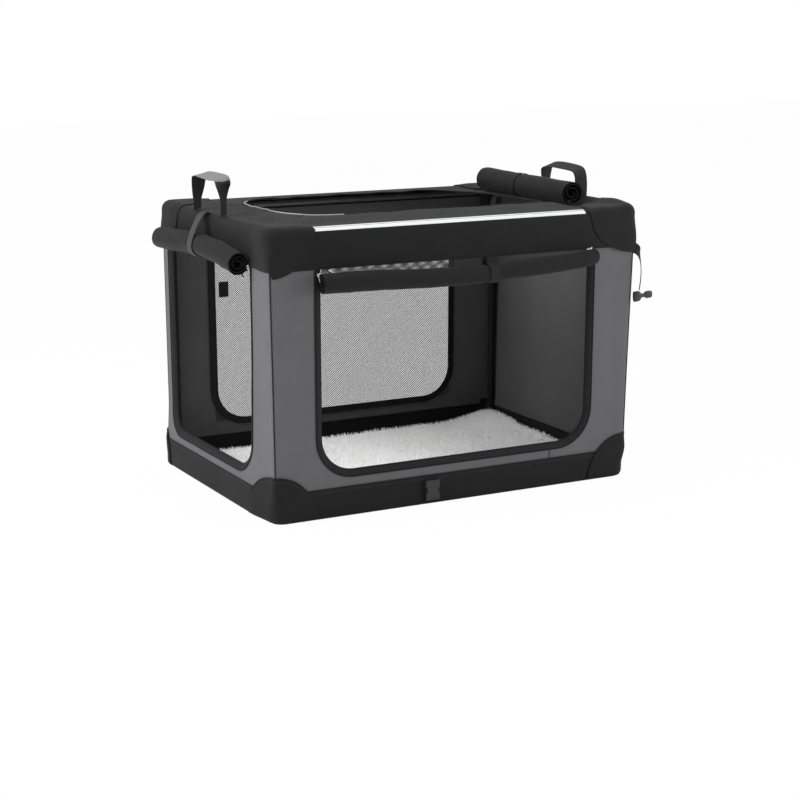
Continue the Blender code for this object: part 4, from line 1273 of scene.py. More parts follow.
@dataclass
class CornerPatch(Sewn):
    """A domed reinforcement patch over one corner, with a corded edge and a row of stitching."""

    end: Side
    long_side: Side
    reach: float
    drop: float
    puff: float
    inset: float = 0.2 * MM
    rows: int = 15

    def corner(self, height: float) -> np.ndarray:
        """The sharp corner point that the patch covers, at a height."""
        return np.array([*(self.end.out * COVER.half_x + self.long_side.out * COVER.half_y), height])

    def finish(
        self, points: np.ndarray, uv: np.ndarray, loop: np.ndarray, near: np.ndarray, out: np.ndarray,
        closed: bool,
    ) -> list[bpy.types.Object]:
        """Makes and dresses the patch's pieces: the patch, its corded edge and its stitches.

        Args:
            points: the grid.
            uv: the grid's coordinates in metres.
            loop: the patch's edge.
            near: the stitch line.
            out: the way out of the cloth along the stitch line.
            closed: whether the rows are rings.

        Returns:
            The pieces.
        """
        patch = grid_piece(self.name, points, uv, round_columns=closed, weld=closed)
        give_depth(patch, 1.4 * MM)
        line = near + out * 0.25 * MM
        if closed:
            line, out = (np.concatenate([ring, ring[:1]]) for ring in (line, out))
        return [
            dress(patch, self.body, BLACK_OXFORD, Slot.BLACK_CLOTH, self.replaces),
            cord_piece(self.name + "_edge", self.body, loop, 1.3 * MM, 6, closed),
            stitch_row(self.name + "_stitches", self.body, line, out),
        ]


@dataclass
class TopPatch(CornerPatch):
    """A patch over one top corner; its drop on the end side is less by the step."""

    step: float = 0.0

    def edge_loop(self) -> np.ndarray:
        """The patch's edge: three quarter ellipses, down one face, up the other and over the top."""
        along = np.array([*(-self.end.out), 0.0])
        across = np.array([*(-self.long_side.out), 0.0])
        down = np.array([0.0, 0.0, -1.0])
        turn = np.linspace(0, np.pi / 2, 17)[:-1, None]
        return self.corner(COVER.height) + np.concatenate([
            first * a * np.cos(turn) + second * b * np.sin(turn) for first, a, second, b in (
                (along, self.reach, down, self.drop),
                (down, self.drop - self.step, across, self.reach),
                (across, self.reach, along, self.reach),
            )
        ])

    def build(self) -> list[bpy.types.Object]:
        """Builds the patch from lines out of the corner point to the edge, cast onto the cover."""
        share = np.linspace(0, 1, self.rows)
        corner = self.corner(COVER.height)
        centre = corner * np.array([0.62, 0.50, 0.72])
        flat = corner + (self.edge_loop() - corner)[None] * share[:, None, None]
        points = COVER.cast(centre, flat, self.inset)
        points = points + unit(points - centre) * (ease((1 - share) / 0.35) * self.puff)[:, None, None]
        near = points[-2] * 0.55 + points[-3] * 0.45
        loop = points[-1]
        around = np.linspace(0, arc_length(loop, True)[-1], len(loop))
        uv = np.stack(np.broadcast_arrays(around * share[:, None], share[:, None] * self.reach), -1)
        middle = points[8, 0]
        ways = np.stack([points[8, 5] - middle, points[9, 0] - middle, middle - centre])
        if np.linalg.det(ways) > 0:
            points, uv = points[:, ::-1], uv[:, ::-1]
        return self.finish(points, uv, loop, near, unit(near - centre), True)


@dataclass
class BasePatch(CornerPatch):
    """A patch over one bottom corner, with its own reach along the end side."""

    end_reach: float = 0.0
    foot: float = 3.5 * MM

    def faces(self) -> tuple[Side, Side]:
        """The corner's two sides, the left one seen from outside first."""
        turn = (Side.FRONT, Side.RIGHT, Side.BACK, Side.LEFT, Side.FRONT)
        return next(pair for pair in zip(turn, turn[1:]) if {self.end, self.long_side} == set(pair))

    def place(self, along: np.ndarray, share: np.ndarray) -> np.ndarray:
        """A point of the patch: a half ellipse round the corner, from just above the floor.

        Its height at a distance s from the corner's middle is the rise times the root of one minus
        (s over the reach) squared; near the floor it follows the rounded base rim.

        Args:
            along: the distance from the corner's middle, to the right seen from outside.
            share: 0 at the foot, 1 at the patch's edge.

        Returns:
            The points.
        """
        foot = self.foot
        first, second = self.faces()
        reach = np.where((along < 0) == first.is_end, self.end_reach, self.reach)
        rise = self.drop * np.sqrt(np.clip(1 - (along / reach) ** 2, 0, 1))
        height = foot + np.maximum(rise - foot, 0) * share
        quarter = COVER.corner * math.pi / 4
        drawn = COVER.base_rim - np.sqrt(
            np.maximum(COVER.base_rim**2 - np.maximum(COVER.base_rim - height, 0) ** 2, 0)
        )
        inner = self.inset + drawn + 1.7 * MM * ease((height - TRAY_HEIGHT) / 0.02)
        one = side_place(first, along + COVER.straight(first) + quarter, height, inner)
        two = side_place(second, along - COVER.straight(second) - quarter, height, inner)
        return np.where((along < 0)[..., None], one, two)

    def build(self) -> list[bpy.types.Object]:
        """Builds the patch from its foot up to its edge, domed between them."""
        turn = np.sin(np.linspace(-np.pi / 2, np.pi / 2, 73))
        left, right = (self.end_reach if side.is_end else self.reach for side in self.faces())
        tip = 0.999
        along, share = np.meshgrid(np.where(turn < 0, left, right) * turn * tip, np.linspace(0, 1, self.rows))
        points = self.place(along, share)
        lift = (ease((1 - share) / 0.25) * ease(share / 0.1) * self.puff)[..., None]
        way = points - self.corner(0.0) * np.array([0.75, 0.65, 0.0])
        way[..., 2] = 0.0
        points = points + unit(way) * lift
        uv = np.stack([along, points[..., 2]], -1)
        return self.finish(points, uv, points[-1], points[-2], unit(way[-2]), False)


@dataclass
class BaseTray:
    """The sewn base: an upright skirt, a rounded lower rim and a stiff floor, hemmed at the top."""

    name: str = "base_skirt"
    height: float = TRAY_HEIGHT
    inset: float = 0.0019
    depth: float = 0.0019

    def place(self, turn: np.ndarray, climb: np.ndarray) -> np.ndarray:
        """A point of the skirt or floor.

        The turn runs from 0 to 4 round the sides, one unit a side. The climb is 0 to 1 down the
        skirt, 1 to 2 round the rim and 2 to 3 across the floor to its middle.

        Args:
            turn: the place round the crate.
            climb: the place down the skirt and in.

        Returns:
            The points.
        """
        sides = (Side.FRONT, Side.RIGHT, Side.BACK, Side.LEFT)
        radius = COVER.base_rim - self.inset
        angle = np.clip(climb - 1, 0, 1) * np.pi / 2
        drawn = self.inset + radius * (1 - np.cos(angle))
        floor = np.clip(climb - 2, 0, 1)
        height = self.height + (COVER.base_rim - self.height) * np.clip(climb, 0, 1) - radius * np.sin(angle)
        height = height - self.inset * np.clip(climb - 1, 0, 1)
        total = np.zeros((*turn.shape, 3))
        for number, side in enumerate(sides):
            limit = COVER.straight(side) + COVER.corner * math.pi / 4
            along = (turn - number) * 2 * limit - limit
            here = (turn >= number) & (turn < number + 1)
            spot = side_place(side, along, height, drawn)
            total = np.where(here[..., None], spot, total)
        total[..., :2] *= (1 - floor)[..., None]
        seam = ease(climb / 0.1) * ease((1.2 - climb) / 0.6)
        swell = seam * 0.7 * MM * ripple(turn * 0.7, climb * 0.05, 0.12, 31)
        total[..., :2] *= 1 + (swell / 0.4)[..., None] * 0.5
        return total

    def build(self) -> list[bpy.types.Object]:
        """Builds and dresses the tray, its hem cord and its stitching."""
        turn = (np.arange(240) + 0.5) / 60
        climb = np.concatenate([np.linspace(0, 1, 9), np.linspace(1, 2, 7)[1:], [2.2, 2.6, 3.0]])
        columns, rows = np.meshgrid(turn, climb)
        points = self.place(columns, rows)
        around = np.linspace(0, arc_length(points[0], True)[-1], 240)
        uv = spread(-around, climb * self.height)
        tray = grid_piece(self.name, points[:, ::-1], uv[:, ::-1], round_columns=True, weld=True)
        give_depth(tray, self.depth)
        made = [dress(tray, Body.BASE, BLACK_OXFORD, Slot.BLACK_CLOTH, ("base_tray",))]
        hem = self.place(turn, np.zeros(240)) - np.array([0, 0, 0.6 * MM])
        made.append(cord_piece(self.name + "_hem", Body.BASE, hem, 1.2 * MM, 6, True))
        for number, share in enumerate((0.07, 0.14)):
            line = self.place(turn, np.full(240, share))
            line = np.concatenate([line, line[:1]])
            out = unit(line * np.array([1, 1, 0]))
            made.append(stitch_row(f"{self.name}_stitches_{number}", Body.BASE, line, out))
        return made


@dataclass
class RolledDoor(Sewn):
    """A door rolled up to a coil of cloth: a spiral carried along a gently bent line, then creased."""

    middle: tuple[float, float, float]
    run: tuple[float, float, float]
    course: tuple[tuple[float, float, float, float], ...]
    start: float
    waist: float
    seed: int
    bore: float = 5.5 * MM
    turns: float = 3.2
    lap: float = 2.0 * MM
    places: int = 97

    def surface(self, turn: np.ndarray) -> np.ndarray:
        """The cloth's points: one turn just inside the outer radius, then evenly in to the bore.

        The course's knots hold the place along the roll, the shift to its side, the rise and the
        outer radius, and smooth cubics join them.

        Args:
            turn: the angle through the coil, 0 at the outer edge, one row for each place.

        Returns:
            The points.
        """
        line = smooth_path(self.course, len(turn))
        along, shift, rise, full = (line[:, k, None] for k in range(4))
        share = turn / (2 * np.pi * self.turns)
        outer = 1 - share
        creases = 0.9 * MM * ripple(along * 0.5, turn * 0.02, 0.045, self.seed)
        creases = creases + 0.5 * MM * np.sin(turn * 3 + 9 * along + self.seed)
        first = 1 / self.turns
        inward = np.maximum(share - first, 0) / (1 - first)
        radius = full - self.lap * np.minimum(share / first, 1) - (full - self.lap - self.bore) * inward
        radius = radius - outer**2 * (0.4 * MM + np.abs(creases) * 0.8)
        radius = radius - outer * 1.4 * MM * np.exp(-(((along - self.waist) / 0.016) ** 2))
        tip = np.linspace(-1, 1, len(turn))[:, None] ** 8
        along = along + 1.5 * MM * ripple(turn * 0.01, turn * 0, 0.03, self.seed + 1) * tip
        run, up = np.array(self.run), np.array([0.0, 0.0, 1.0])
        side = np.cross(run, up)
        angle = turn + self.start
        return (
            np.array(self.middle)
            + along[..., None] * run
            + (shift + radius * np.cos(angle))[..., None] * side
            + (rise + radius * np.sin(angle))[..., None] * up
        )

    def build(self) -> bpy.types.Object:
        """Builds and dresses the roll."""
        turn = np.tile(np.linspace(0, 2 * np.pi * self.turns, int(self.turns * 36)), (self.places, 1))
        along = smooth_path(self.course, self.places)[:, :1] + turn * 0
        uv = np.stack([turn * self.course[0][3] * 0.6, along], -1)
        roll = grid_piece(self.name, self.surface(turn), uv)
        give_depth(roll, 1.6 * MM)
        return dress(roll, self.body, BLACK_OXFORD, Slot.BLACK_CLOTH, self.replaces, flat_angle=60)


@dataclass
class FlatStrap(Sewn):
    """Webbing: a thin rounded oblong carried along a line of places and ways across."""

    line: np.ndarray
    width: float
    thickness: float
    finish: object = WEBBING
    draped: bool = True

    def build(self) -> bpy.types.Object:
        """Builds and dresses the strap, its ends closed to a point."""
        path, across = self.line[:, :3], unit(self.line[:, 3:])
        tangent = unit(np.gradient(path, axis=0))
        across = unit(across - (across * tangent).sum(-1, keepdims=True) * tangent)
        out = np.cross(tangent, across)
        half, thin = self.width / 2, self.thickness / 2
        shares = np.linspace(-1, 1, 11)
        upper = thin * (1 + 0.12 * np.cos(shares * np.pi * 5)) * np.where(np.abs(shares) > 0.99, 0.3, 1.0)
        v = np.concatenate([shares, shares[::-1]])
        w = np.concatenate([upper, -upper[::-1]])
        ring = across[:, None] * (v * half)[None, :, None] + out[:, None] * w[None, :, None]
        points = path[:, None] + ring
        ends = np.repeat(path[[0, -1]][:, None], len(v), 1)
        points = np.concatenate([ends[:1], points, ends[1:]])
        along = arc_length(path)
        along = np.concatenate([along[:1], along, along[-1:]])
        uv = spread(v * half, along)
        strap = grid_piece(self.name, points[:, ::-1], uv[:, ::-1], round_columns=True, weld=True)
        return dress(
            strap, self.body, self.finish, Slot.BLACK_WEBBING, self.replaces, flat_angle=50,
            draped=self.draped,
        )


@dataclass
class CarryHandle(Sewn):
    """A webbing handle whose legs twist between its feet and its flat, tilted grip.

    The knots hold y, z and the three parts of the way across the webbing, and smooth cubics join
    them. Faces that look up above a height take a lighter webbing: a painted highlight on the grip.
    """

    x: float
    knots: tuple[tuple[float, float, float, float, float], ...]
    pale_from: float
    width: float = 0.034
    thickness: float = 2.0 * MM

    def build(self) -> None:
        """Builds and dresses the handle."""
        line = smooth_path([(self.x, *knot) for knot in self.knots], 150)
        mesh = FlatStrap(
            self.name, self.body, self.replaces, line, self.width, self.thickness, HANDLE_WEBBING, self.x < 0
        ).build().data
        # the grip's upward faces above the given height take the lighter webbing: a painted highlight
        mesh.materials.append(material(GRIP_HIGHLIGHT_WEBBING))
        middle, normal = (read_rows(mesh.polygons, key)[:, 2] for key in ("center", "normal"))
        pale = (middle > self.pale_from) & (normal > 0.35)
        mesh.polygons.foreach_set("material_index", pale.astype(np.int32))


@dataclass
class ZipPull:
    """A metal zip slider with its hanging tab."""

    name: str
    body: Body
    place: tuple[float, float, float]
    out: tuple[float, float, float]
    down: tuple[float, float, float]
    length: float

    def block(
        self, centre: np.ndarray, sizes: tuple[float, float, float], narrow: float
    ) -> tuple[np.ndarray, np.ndarray]:
        """A six-sided bar with rounded long edges, narrower at one end.

        Args:
            centre: its middle.
            sizes: its length down, its width and its thickness.
            narrow: the width's share at the lower end.

        Returns:
            Its points and its faces.
        """
        down, out = np.array(self.down), np.array(self.out)
        side = np.cross(down, out)
        u, v = rounded_square(12)
        rows = []
        for share, width in ((-1, 0.0), (-1, 0.85), (-0.8, 1.0), (0.7, narrow), (1, narrow * 0.8), (1, 0.0)):
            ring = side * (u * width * sizes[1] / 2)[:, None] + out * (v * width * sizes[2] / 2)[:, None]
            rows.append(centre + down * share * sizes[0] / 2 + ring)
        return np.stack(rows), grid_faces(6, 12, False, True)

    def build(self) -> bpy.types.Object:
        """Builds and dresses the pull: slider, bridge and tab in one mesh."""
        place, out, down = np.array(self.place), np.array(self.out), np.array(self.down)
        tab = place + out * 3.2 * MM + down * (3 * MM + self.length / 2)
        parts = (
            self.block(place, (9 * MM, 7 * MM, 3.5 * MM), 0.7),
            self.block(place + out * 2.4 * MM, (6 * MM, 2.5 * MM, 2.6 * MM), 1.0),
            self.block(tab, (self.length, 5.5 * MM, 1.6 * MM), 0.75),
        )
        points, faces, count = [], [], 0
        for grid, quads in parts:
            points.append(grid.reshape(-1, 3))
            faces.append(quads + count)
            count += len(points[-1])
        pull = mesh_piece(self.name, np.concatenate(points), np.concatenate(faces)[:, ::-1], weld=True)
        return dress(pull, self.body, ZIP_METAL, Slot.STEEL, flat_angle=50)


@dataclass
class PlushMat:
    """The white mat: a padded body and a pile of short curled tufts."""

    half_x: float = 0.428
    half_y: float = 0.258
    low: float = 0.0035
    curl: float = 0.026
    thickness: float = 0.028
    draw_in: float = 4.0 * MM
    frames: int = 14
    most_swell: float = 4.0 * MM
    lowest: float = 2.7 * MM
    tufts: int = 15000
    pile: float = 8.5 * MM

    def body_cage(self) -> bpy.types.Object:
        """The pad before it is filled: a rounded slab, drawn in between its corners, curled at the right."""
        u, v = np.meshgrid(np.linspace(-1, 1, 57), np.linspace(-1, 1, 35))
        edge = np.minimum((1 - np.abs(u)) * self.half_x, (1 - np.abs(v)) * self.half_y)
        lift = np.sqrt(np.clip(1 - (1 - np.clip(edge / 0.016, 0, 1)) ** 2, 0, 1))
        x = u * (self.half_x - self.draw_in * (1 - v**2) * np.abs(u) ** 3)
        y = v * (self.half_y - self.draw_in * (1 - u**2) * np.abs(v) ** 3)
        middle = self.low + self.thickness * 0.42
        top = middle + lift * (self.thickness * 0.55 + 1.6 * MM * ripple(u * 0.42, v * 0.25, 0.16, 5))
        bottom = middle - lift * (middle - self.low)
        curl = self.curl * ease((x - 0.27) / 0.16) * (0.45 + 0.55 * ease((y + 0.05) / 0.28))
        upper = np.stack([x, y, top + curl], -1).reshape(-1, 3)
        lower = np.stack([x, y, bottom + curl], -1).reshape(-1, 3)
        quads = grid_faces(35, 57, False, False)
        points = np.concatenate([upper, lower])
        faces = np.concatenate([quads, quads[:, ::-1] + len(upper)])
        return mesh_piece("plush_mat", points, faces, weld=True)

    def fill(self, pad: bpy.types.Object) -> None:
        """Swells the pad with a short cloth simulation and keeps the change small.

        Args:
            pad: the pad's closed mesh.
        """
        remesh = pad.modifiers.new("remesh", "REMESH")
        remesh.mode = "VOXEL"
        remesh.voxel_size = 6 * MM
        settle(pad)
        before = np.array([v.co for v in pad.data.vertices])
        cloth = pad.modifiers.new("fill", "CLOTH")
        cloth.settings.quality = 4
        cloth.settings.mass = 0.3
        cloth.settings.use_pressure = True
        cloth.settings.uniform_pressure_force = 3.0
        cloth.settings.effector_weights.gravity = 0.0
        cloth.collision_settings.use_collision = False
        cloth.point_cache.frame_start = 1
        cloth.point_cache.frame_end = self.frames
        scene = bpy.context.scene
        for number in range(1, self.frames + 1):
            scene.frame_set(number)
        settle(pad)
        scene.frame_set(1)
        after = np.array([v.co for v in pad.data.vertices])
        if len(after) != len(before):
            LOG.warning("the filled mat changed its points")
            return
        move = after - before
        size = np.linalg.norm(move, axis=1, keepdims=True)
        after = before + move * np.minimum(1, self.most_swell / np.maximum(size, 1e-9))
        after[:, 2] = np.maximum(after[:, 2], self.lowest)
        move_points(pad.data, after)

    def pile_on(self, pad: bpy.types.Object) -> bpy.types.Object:
        """Tufts on the pad's top and sides: each a bent blade of three quads' width falling to a tip.

        Args:
            pad: the finished pad.

        Returns:
            The pile, all its tufts in one mesh.
        """
        mesh = pad.data
        mesh.calc_loop_triangles()
        corners = np.zeros(len(mesh.loop_triangles) * 3, np.int32)
        mesh.loop_triangles.foreach_get("vertices", corners)
        verts = np.zeros(len(mesh.vertices) * 3, np.float32)
        mesh.vertices.foreach_get("co", verts)
        triangle = verts.reshape(-1, 3)[corners.reshape(-1, 3)].astype(float)
        normal = np.cross(triangle[:, 1] - triangle[:, 0], triangle[:, 2] - triangle[:, 0])
        area = np.linalg.norm(normal, axis=1)
        normal = unit(normal)
        middle = triangle.mean(1)
        near_edge = (np.abs(middle[:, 0]) > self.half_x - 0.03) | (np.abs(middle[:, 1]) > self.half_y - 0.03)
        weight = area * (normal[:, 2] > -0.2) * np.where(near_edge, 3.0, 1.0)
        draw = np.random.default_rng(SEED)
        pick = draw.choice(len(triangle), self.tufts, p=weight / weight.sum())
        mix = draw.dirichlet((1, 1, 1), self.tufts)
        root = (triangle[pick] * mix[..., None]).sum(1)
        up = normal[pick]
        lean = draw.normal(0, 0.55, (self.tufts, 3))
        lean = lean - (lean * up).sum(1, keepdims=True) * up
        clump = ripple(root[:, 0], root[:, 1], 0.035, 11)[:, None]
        lean = lean + unit(np.cross(up, [0.3, 0.8, 0.1])) * clump * 0.6
        length = self.pile * draw.uniform(0.6, 1.25, (self.tufts, 1))
        width = unit(np.cross(up, lean)) * draw.uniform(0.5, 1.0, (self.tufts, 1)) * 1.1 * MM
        bend = unit(up * 0.8 + lean)
        knee = root + up * length * 0.45
        tip = knee + bend * length * 0.55 + np.array([0, 0, -1.0]) * length * 0.10
        foot = root - up * 0.8 * MM
        points = np.stack([foot - width, foot + width, knee - width * 0.8, knee + width * 0.8, tip], 1)
        base = (np.arange(self.tufts) * 5)[:, None]
        faces = np.concatenate([base + np.array([corners]) for corners in ((0, 1, 3), (0, 3, 2), (2, 3, 4))])
        return mesh_piece("plush_pile", points, faces)

    def build(self) -> None:
        """Builds, fills and dresses the mat."""
        pad = self.body_cage()
        self.fill(pad)
        smooth = pad.modifiers.new("smooth", "SUBSURF")
        smooth.levels = smooth.render_levels = 1
        dress(pad, Body.BASE, FLEECE, Slot.WHITE_FLEECE, ("fleece_mat",), flat_angle=80)
        dress(self.pile_on(pad), Body.BASE, FLEECE, Slot.WHITE_FLEECE, flat_angle=80)


def squash_all(
    pieces: list[bpy.types.Object]
) -> None:
    """Gives each soft piece its own copy of its mesh.

    Args:
        pieces: the pieces.
    """
    for piece in pieces:
        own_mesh(piece)


@dataclass
class Studio:
    """The camera at the photograph's place, the pale floor, the backdrop and the lamps."""

    eye: tuple[float, float, float] = (-1.946, -3.655, 1.091)
    yaw: float = 28.25
    pitch: float = -15.12
    lens: float = 80.1
    shift: float = 0.10
    floor_grey: float = 0.90
    floor_shown: float = 0.975
    floor_half: float = 12.0
    world_light: float = 0.47
    lamps: tuple[tuple[str, tuple[float, float, float], float, float], ...] = (
        ("key_left", (-3.2, -0.1, 2.3), 1.8, 92.0),
        ("front_right", (2.2, -1.9, 1.1), 1.3, 25.0),
        ("top_soft", (0.2, 0.4, 3.2), 2.4, 30.0),
    )

    def camera(self) -> None:
        """Sets the camera that was fitted to the photograph's edges."""
        data = bpy.data.cameras.new("photo_camera")
        data.lens = self.lens
        data.sensor_width = 36.0
        data.shift_y = self.shift
        camera = bpy.data.objects.new("photo_camera", data)
        camera.location = self.eye
        camera.rotation_euler = (math.radians(90 + self.pitch), 0.0, math.radians(-self.yaw))
        bpy.context.scene.collection.objects.link(camera)
        bpy.context.scene.camera = camera

    def lamp(self, name: str, place: tuple, size: float, power: float) -> None:
        """Adds a soft square lamp that faces the crate.

        Args:
            name: the lamp's name.
            place: where it hangs.
            size: its edge.
            power: its power in watts.
        """
        data = bpy.data.lights.new(name, "AREA")
        data.size = size
        data.energy = power
        lamp = bpy.data.objects.new(name, data)
        lamp.location = place
        aim = Vector((0.0, 0.0, 0.3)) - Vector(place)
        lamp.rotation_euler = aim.to_track_quat("-Z", "Y").to_euler()
        bpy.context.scene.collection.objects.link(lamp)

    def floor_material(self) -> bpy.types.Material:
        """The floor's pale matt material, which the camera sees as nearly white with a faint shadow."""
        graph = Graph("pale_floor")
        grey = self.floor_grey
        graph.shader.inputs["Base Color"].default_value = (grey, grey, grey, 1.0)
        graph.shader.inputs["Roughness"].default_value = 0.9
        path = graph.node("ShaderNodeLightPath")
        glow = graph.node("ShaderNodeEmission", sockets={"Color": WHITE, "Strength": 1.0})
        seen = Number(graph, path.outputs["Is Camera Ray"]) * self.floor_shown
        mix = graph.node(
            "ShaderNodeMixShader", sockets={0: seen, 1: graph.shader.outputs[0], 2: glow.outputs[0]}
        )
        graph.feed(graph.tree.nodes["Material Output"].inputs["Surface"], mix.outputs[0])
        return graph.material

    def backdrop(self) -> None:
        """Makes the world: soft light on the crate, and plain white where the camera sees it."""
        world = bpy.data.worlds.new("studio_world")
        bpy.context.scene.world = world
        world.use_nodes = True
        tree = world.node_tree
        tree.nodes.clear()
        output, mix, soft, white, path, either = (
            tree.nodes.new("ShaderNode" + kind)
            for kind in ("OutputWorld", "MixShader", "Background", "Background", "LightPath", "Math")
        )
        either.operation = "MAXIMUM"
        for light, strength in ((soft, self.world_light), (white, 1.0)):
            light.inputs["Strength"].default_value = strength
            light.inputs["Color"].default_value = WHITE
        for start, end in (
            (path.outputs["Is Camera Ray"], either.inputs[0]),
            (path.outputs["Is Transmission Ray"], either.inputs[1]),
            (either.outputs[0], mix.inputs[0]),
            (soft.outputs[0], mix.inputs[1]),
            (white.outputs[0], mix.inputs[2]),
            (mix.outputs[0], output.inputs[0]),
        ):
            tree.links.new(start, end)

    def build(self) -> None:
        """Builds the camera, the floor, the world and the lamps."""
        self.camera()
        bpy.context.scene.view_settings.view_transform = "Standard"
        corners = np.array([[-1, -1, 0], [1, -1, 0], [1, 1, 0], [-1, 1, 0]]) * self.floor_half
        floor = mesh_piece("studio_floor", corners - [0, 0, 0.5 * MM], np.array([[0, 1, 2, 3]]))
        floor.data.materials.append(self.floor_material())
        self.backdrop()
        for name, place, size, power in self.lamps:
            self.lamp(name, place, size, power)


def dress_frame() -> None:
    """Gives the frame's own rigid nodes their finishes, by the first part of a name that fits."""
    finishes = (
        ("hoop_foot", PLASTIC), ("rail_plate", PLASTIC), ("corner_bracket", PLASTIC), ("buckle", PLASTIC),
        ("hinge_pin", PIN_STEEL), ("tube", FRAME_STEEL), ("hoop", FRAME_STEEL), ("rail", FRAME_STEEL),
    )
    for name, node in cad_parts.items():
        for finish in [finish for key, finish in finishes if key in name][:1]:
            node.data.materials.clear()
            node.data.materials.append(material(finish))


FRONT_DOOR = ((-0.352, 0.089), (0.352, 0.556), (0.090, 0.022))
LEFT_DOOR = ((-0.274, 0.086), (0.208, 0.556), (0.066, 0.022))
BACK_WINDOW = ((-0.339, 0.079), (0.339, 0.505), (0.090, 0.022))
HALF_CORNER = COVER.corner * math.pi / 4
TRIM_TOP = 0.5455
POST_X, POST_Y = 0.4395, 0.2795
HANDLE_X = 0.438
# the closing strap: its root, its turn about the upright, and at each knot the way out, the drop
# and how far the webbing lies level and upright
STRAP_ROOT = (0.450476, -0.302838, 0.541)
STRAP_TURN = math.radians(-35.0)
STRAP_KNOTS = (
    (0.0000, 0.000, 0.0, 1.00), (0.0080, 0.004, 0.1, 0.95), (0.0155, 0.016, 0.6, 0.60),
    (0.0210, 0.034, 0.95, 0.15), (0.0235, 0.055, 1.0, 0.0), (0.0235, 0.078, 1.0, 0.0),
    (0.0215, 0.099, 1.0, 0.0),
)
# the clip: the place along it, half its height and half its depth, in millimetres
CLIP_ROWS = (
    (-25.5, 0.0, 0.0), (-25.5, 9.5, 3.2), (-24.0, 12.0, 4.2), (-13.0, 12.0, 4.4), (-8.5, 10.5, 4.2),
    (-5.5, 5.2, 3.4), (0.0, 4.2, 3.0), (5.5, 4.8, 3.2), (7.5, 7.2, 3.6), (10.5, 8.2, 3.8),
    (20.0, 8.2, 3.8), (24.0, 7.4, 3.4), (25.5, 5.5, 2.6), (25.5, 0.0, 0.0),
)
# zip pulls: body, place, the way out of the cloth, the way that the tab hangs and its length
FRONT_WAY, LEFT_WAY, UP_WAY = (0.0, -1.0, 0.0), (-1.0, 0.0, 0.0), (0.0, 0.0, 1.0)
ZIP_PULLS = (
    (Body.FRONT_RAIL, (-0.3455, -0.3170, 0.534), FRONT_WAY, (0.22, 0.0, -0.97), 0.012),
    (Body.FRONT_RAIL, (-0.3200, -0.3180, 0.541), FRONT_WAY, (0.80, 0.0, -0.60), 0.012),
    (Body.FRONT_RAIL, (0.3310, -0.3170, 0.545), FRONT_WAY, (0.95, 0.0, 0.30), 0.005),
    (Body.LEFT_END, (-0.4590, -0.2109, 0.546), LEFT_WAY, (0.0, -0.20, -0.98), 0.010),
    (Body.LEFT_END, (-0.4600, -0.1830, 0.523), LEFT_WAY, (0.0, -0.96, -0.26), 0.014),
    (Body.RIGHT_END, (0.3780, -0.1640, 0.6345), UP_WAY, (-0.70, -0.71, 0.0), 0.013),
)
# Rolled doors: place along the roll, shift to its side, rise and radius
LEFT_COURSE = (
    (-0.209, 0.0, -0.0020, 0.0238), (-0.155, 0.0, 0.0050, 0.0242), (-0.100, 0.0, 0.0105, 0.0243),
    (0.003, 0.0, 0.0135, 0.0238), (0.110, 0.0, 0.0095, 0.0243), (0.180, 0.0, 0.0055, 0.0242),
    (0.241, 0.0, 0.0030, 0.0238),
)
TOP_COURSE = (
    (-0.173, 0.0, -0.0002, 0.0260), (-0.08, 0.0, 0.0005, 0.0266), (0.0, 0.0, 0.0008, 0.0268),
    (0.052, 0.0, 0.0006, 0.0262), (0.110, 0.0, 0.0008, 0.0270), (0.165, 0.0, 0.0010, 0.0277),
    (0.213, 0.0, 0.0012, 0.0283),
)
FRONT_COURSE = (
    (-0.345, 0.0, 0.0025, 0.0208), (-0.270, 0.0, 0.0025, 0.0222), (-0.200, 0.0, 0.0010, 0.0218),
    (-0.110, 0.0, -0.0025, 0.0208), (-0.030, 0.0, -0.0040, 0.0204), (0.067, 0.0, -0.0040, 0.0194),
    (0.145, 0.0, 0.0010, 0.0197), (0.210, 0.0, 0.0040, 0.0193), (0.280, -0.0010, 0.0080, 0.0185),
    (0.320, -0.0030, 0.0110, 0.0178), (0.345, -0.0060, 0.0140, 0.0165),
)
# The left roll's strap: place and the way across it
LEFT_STRAP = (
    (-0.4425, 0.050, 0.6292, 0.30, 0.95, 0), (-0.4535, 0.043, 0.6290, 0.25, 0.97, 0),
    (-0.4650, 0.032, 0.6255, 0.15, 0.99, 0), (-0.4790, 0.018, 0.6160, 0.05, 1, 0),
    (-0.4925, 0.0100, 0.6005, 0, 1, 0), (-0.5010, 0.0065, 0.5845, 0, 1, 0),
    (-0.5052, 0.0050, 0.5680, 0, 1, 0), (-0.5025, 0.0020, 0.5550, 0, 1, 0),
    (-0.4935, -0.0020, 0.5465, 0, 1, 0), (-0.4800, -0.0040, 0.5432, 0, 1, 0),
    (-0.4670, -0.0050, 0.5465, 0, 1, 0), (-0.4580, -0.0050, 0.5550, 0, 1, 0),
    (-0.4553, -0.0040, 0.5680, 0, 1, 0),
)
